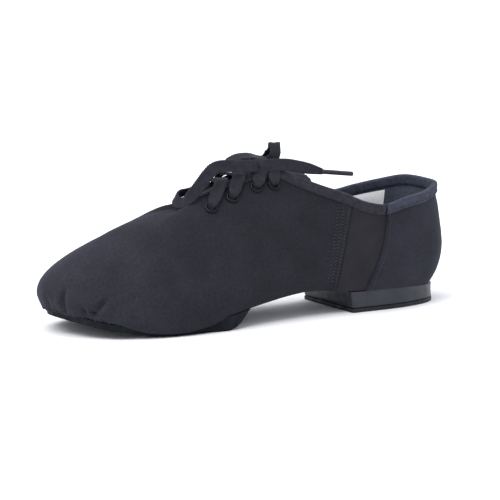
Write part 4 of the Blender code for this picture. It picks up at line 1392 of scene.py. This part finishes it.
class SHOE_OT_lacing(bpy.types.Operator):
    """Crossed laces from eyelet to eyelet over the tongue, and the two strands up to the knot"""
    bl_idname = "shoe.lacing"
    bl_label = "Lacing"

    def execute(self, context):
        s = size()
        clear = s.gap * 2 + s.tape + s.lace_thick * 0.5 + 0.25 * MM
        under = s.wall + s.tape + s.gap + s.lace_thick * 0.45
        for number in range(len(EYELETS) - 1):
            for turned in (False, True):
                a0, depth = EYELETS[number]
                a1 = EYELETS[number + 1][0]
                points, looks = strand_half(a0, depth, a0 + (a1 - a0) * 0.14, turned, clear)
                b1 = sided(a1 - 0.25, not turned)
                tuck = [skin(b1, t, -under) for t in (0.985, 0.90)]
                tuck_look = [normal(np.array(b1), np.array(t)) for t in (0.985, 0.90)]
                middle = (points[-1] + tuck[0]) / 2
                middle[2] = (points[-1][2] + place(b1, 1.0)[2]) / 2 + (-0.75 if turned else 0.75) * MM
                points += [middle] + tuck
                looks += [np.array([0, 0, 1.0])] + tuck_look
                name = "crossing_" + str(number + 1) + ("_medial" if turned else "_lateral")
                (ribbon(name, points, looks, STRAND_WIDTHS + [1.0, 1.0, 1.0],
                                   STRAND_THICK + [0.95, 0.8, 0.8], -0.04)[0])
        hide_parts("lace_crossings")
        a0, depth = EYELETS[-1]
        for turned in (False, True):
            points, looks = strand_half(a0, depth, a0 - 0.35, turned, clear)
            end = np.array([4.0, -1.0 if turned else -6.0, 80.8 if turned else 79.8]) * MM
            points.append((points[-1] + end) / 2 + np.array([0, 0, 0.2 * MM]))
            points.append(end)
            looks += [np.array([0, -0.2, 1.0]), np.array([0, -0.4, 1.0])]
            name = "knot_strand" + ("_medial" if turned else "_lateral")
            ribbon(name, points, looks, STRAND_WIDTHS + [1.0, 0.9], STRAND_THICK + [1.0, 1.0], -0.04)
        return {"FINISHED"}


class SHOE_OT_bow(bpy.types.Operator):
    """The knot, the bow's two loops, the free end and its aglet"""
    bl_idname = "shoe.bow"
    bl_label = "Bow"

    def execute(self, context):
        centre, half = np.array(KNOT_AT) * MM, np.array(KNOT_HALF) * MM
        turn = full_turn(KNOT_SIDES)
        rings = []
        for x in np.linspace(-1, 1, 61):
            body = max(1 - abs(x)**3.0, 0.03)**0.5
            pinch = 1 - 0.22 * bell((x + 0.42) / 0.10) - 0.20 * bell((x - 0.52) / 0.10)
            fold = 1 + 0.07 * np.cos(3 * turn + 2.5 * x) + 0.05 * np.cos(7 * turn - 4 * x)
            r = body * pinch * fold
            rings.append(centre + np.column_stack([0 * turn + x * half[0], np.cos(turn) * r * half[1],
                                                   np.sin(turn) * r * half[2]]))
        knot = tube_object("knot_core", rings, "shoe_lace", sharp=0)
        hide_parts("lace_knot")
        q = np.linspace(-0.35, 2 * math.pi - 0.2, 15)
        wrap, look = [], []
        for number, angle in enumerate(q):
            shift = (number / len(q) - 0.5) * KNOT_WRAP_SLANT
            beside = (KNOT_WRAP_AT - KNOT_AT[0] + shift - 0.8 * math.sin(angle)) * MM
            around = (half[1] + 0.3 * MM) * math.cos(angle), (half[2] + 0.7 * MM) * math.sin(angle)
            wrap.append(centre + np.array([beside, *around]))
            look.append((0.0, math.cos(angle) / half[1], math.sin(angle) / half[2]))
        ribbon("knot_wrap", wrap, np.array(look) * MM, curl=-0.05)
        for name, node, (path, looks), widths in (
                ("bow_loop_front", "lace_loop_front", FRONT_LOOP, None),
                ("bow_loop_rear", "lace_loop_rear", REAR_LOOP, None),
                ("bow_end", "lace_end", FREE_END, FREE_WIDTHS)):
            obj, line = ribbon(name, np.array(path) * MM, looks, widths, curl=-0.03)
            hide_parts(node)
        tip = unit(np.array(AGLET_ALONG))
        side = unit(np.cross(tip, np.array([0, 0, 1.0])))
        up = np.cross(side, tip)
        start = np.array(AGLET_AT) * MM - tip * 0.8 * MM
        rings = []
        for run, radius in ((0.0, 0.75), (0.0, 0.95), (0.3, 1.04), (1.2, 1.0), (19.0, 0.97), (19.7, 0.85),
                            (20.0, 0.4)):
            rings.append(start + tip * run * MM + spokes(turn[::3], side, up) * radius * AGLET_ROUND * MM)
        aglet = tube_object("lace_tip", rings, "shoe_aglet", sharp=40)
        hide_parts("lace_aglet")
        return {"FINISHED"}


class SHOE_OT_stitching(bpy.types.Operator):
    """Diamond seam in front of the elastic, and the row of stitches along the counter's seam"""
    bl_idname = "shoe.stitching"
    bl_label = "Stitching"

    def execute(self, context):
        s = size()
        for turned in (False, True):
            tag = "medial" if turned else "lateral"
            height = np.linspace(0.10, 0.925, 500)
            centre = gore_front(height) - DIAMOND_AHEAD
            run = run_of(place(centre, height))
            pitch = row_pitch(centre)
            for number, phase in enumerate((0.0, 0.5)):
                saw = np.abs(((run / (DIAMOND_LONG * MM) + phase) % 1.0) * 2 - 1) * 2 - 1
                a = sided(centre + saw * DIAMOND_HALF * MM / pitch, turned)
                points, ups = surface(a, height, 0.06 * MM)
                obj = thread_line("diamond_" + tag + "_" + str(number + 1), points, ups, s.thread * 0.4)
            for number, shift in enumerate(DIAMOND_ROWS):
                points, ups = surface(sided(centre + shift * MM / pitch, turned), height, 0.10 * MM)
                name = "diamond_knots_" + tag + "_" + str(number + 1)
                obj = stitch_row(name, points, ups, DIAMOND_STITCH, s.thread * 0.62, "shoe_knots")
            height = np.linspace(0.10, 0.915, 300)
            back = gore_back(height) + COUNTER_ROW * MM / row_pitch(GORE_BACK + 0 * height)
            points, ups = surface(sided(back, turned), height, 0.05 * MM)
            obj = stitch_row("counter_stitches_" + tag, points, ups, SEAM_STITCH, s.thread / 2)
        return {"FINISHED"}


class SHOE_OT_stage(bpy.types.Operator):
    """Pale floor, soft studio light and the camera at the photograph's angle"""
    bl_idname = "shoe.stage"
    bl_label = "Stage"

    def execute(self, context):
        scene = context.scene
        floor_mesh = bpy.data.meshes.new("floor")
        corners = [(x * FLOOR_REACH, y * FLOOR_REACH, 0) for x, y in ((-1, -1), (1, -1), (1, 1), (-1, 1))]
        floor_mesh.from_pydata(corners, [], [(0, 1, 2, 3)])
        look, tree, shader = shader_nodes("floor_paper", (0.96, 0.96, 0.96), 0.9)
        tree.links.new(speckle(tree, 3.0, 0.3, 0.7, (0.955, 0.955, 0.955), (0.97, 0.97, 0.97)),
                       shader.inputs["Base Color"])
        floor_mesh.materials.append(look)
        floor = bpy.data.objects.new("floor", floor_mesh)
        scene.collection.objects.link(floor)
        world = bpy.data.worlds.new("studio")
        world.use_nodes = True
        surround = world.node_tree.nodes["Background"]
        set_sockets(surround, {"Color": (0.96, 0.98, 1.06, 1.0), "Strength": WORLD_LIGHT})
        scene.world = world
        sky = bpy.data.lights.new("overhead", "SUN")
        sky.energy = SKY_LIGHT
        sky.angle = math.radians(SKY_SPREAD)
        above = bpy.data.objects.new("overhead", sky)
        above.rotation_euler = Vector(SKY_FROM).to_track_quat("Z", "Y").to_euler()
        scene.collection.objects.link(above)
        for name, spot, aim, wide, power in LAMPS:
            lamp = bpy.data.lights.new(name, "AREA")
            lamp.shape = "DISK"
            lamp.size = wide
            lamp.energy = power
            obj = bpy.data.objects.new(name, lamp)
            obj.location = spot
            obj.rotation_euler = (Vector(aim) - Vector(spot)).to_track_quat("-Z", "Y").to_euler()
            scene.collection.objects.link(obj)
        camera = bpy.data.cameras.new("camera")
        camera.sensor_width = CAMERA_SENSOR
        camera.lens = CAMERA_LENS
        camera.clip_start = 0.05
        eye = bpy.data.objects.new("camera", camera)
        az, el = math.radians(CAMERA_TURN), math.radians(CAMERA_RISE)
        back = Vector((math.sin(az) * math.cos(el), -math.cos(az) * math.cos(el), math.sin(el)))
        right = Vector((math.cos(az), math.sin(az), 0.0))
        up = back.cross(right)
        eye.matrix_world = Matrix.Translation(
            Vector(CAMERA_AIM) + back * CAMERA_AWAY + right * CAMERA_ASIDE - up * CAMERA_DOWN
        ) @ Matrix((right, up, back)).transposed().to_4x4()
        scene.collection.objects.link(eye)
        scene.camera = eye
        scene.view_settings.view_transform = "Standard"
        return {"FINISHED"}


class SHOE_PT_panel(bpy.types.Panel):
    """The shoe's sizes, colours and pieces"""
    bl_idname = "SHOE_PT_panel"
    bl_label = "Jazz Shoe"
    bl_space_type = "VIEW_3D"
    bl_region_type = "UI"
    bl_category = "Shoe"

    def draw(self, context):
        layout = self.layout
        for group in (context.scene.shoe_sizes, context.scene.shoe_colours):
            box = layout.box()
            for key in group.bl_rna.properties.keys():
                if key not in ("rna_type", "name"):
                    box.prop(group, key)
        for piece in PIECES:
            layout.operator(piece.bl_idname)


PIECES = (
    SHOE_OT_stage,
    SHOE_OT_bow,
    SHOE_OT_lacing,
    SHOE_OT_upper,
    SHOE_OT_binding,
    SHOE_OT_tongue,
    SHOE_OT_insole,
    SHOE_OT_label,
    SHOE_OT_outsole,
    SHOE_OT_heel,
    SHOE_OT_eyelets,
    SHOE_OT_stitching,
)
CLASSES = (ShoeSizes, ShoeColours) + PIECES + (SHOE_PT_panel,)


def register():
    for one in CLASSES:
        bpy.utils.register_class(one)
    bpy.types.Scene.shoe_sizes = bpy.props.PointerProperty(type=ShoeSizes)
    bpy.types.Scene.shoe_colours = bpy.props.PointerProperty(type=ShoeColours)


def unregister():
    del bpy.types.Scene.shoe_colours
    del bpy.types.Scene.shoe_sizes
    for one in reversed(CLASSES):
        bpy.utils.unregister_class(one)


def main():
    register()
    bpy.ops.shoe.stage()
    bpy.ops.shoe.bow()
    bpy.ops.shoe.lacing()
    bpy.ops.shoe.upper()
    bpy.ops.shoe.binding()
    bpy.ops.shoe.tongue()
    bpy.ops.shoe.insole()
    bpy.ops.shoe.label()
    bpy.ops.shoe.outsole()
    bpy.ops.shoe.heel()
    bpy.ops.shoe.eyelets()
    bpy.ops.shoe.stitching()


if __name__ == "__main__":
    main()
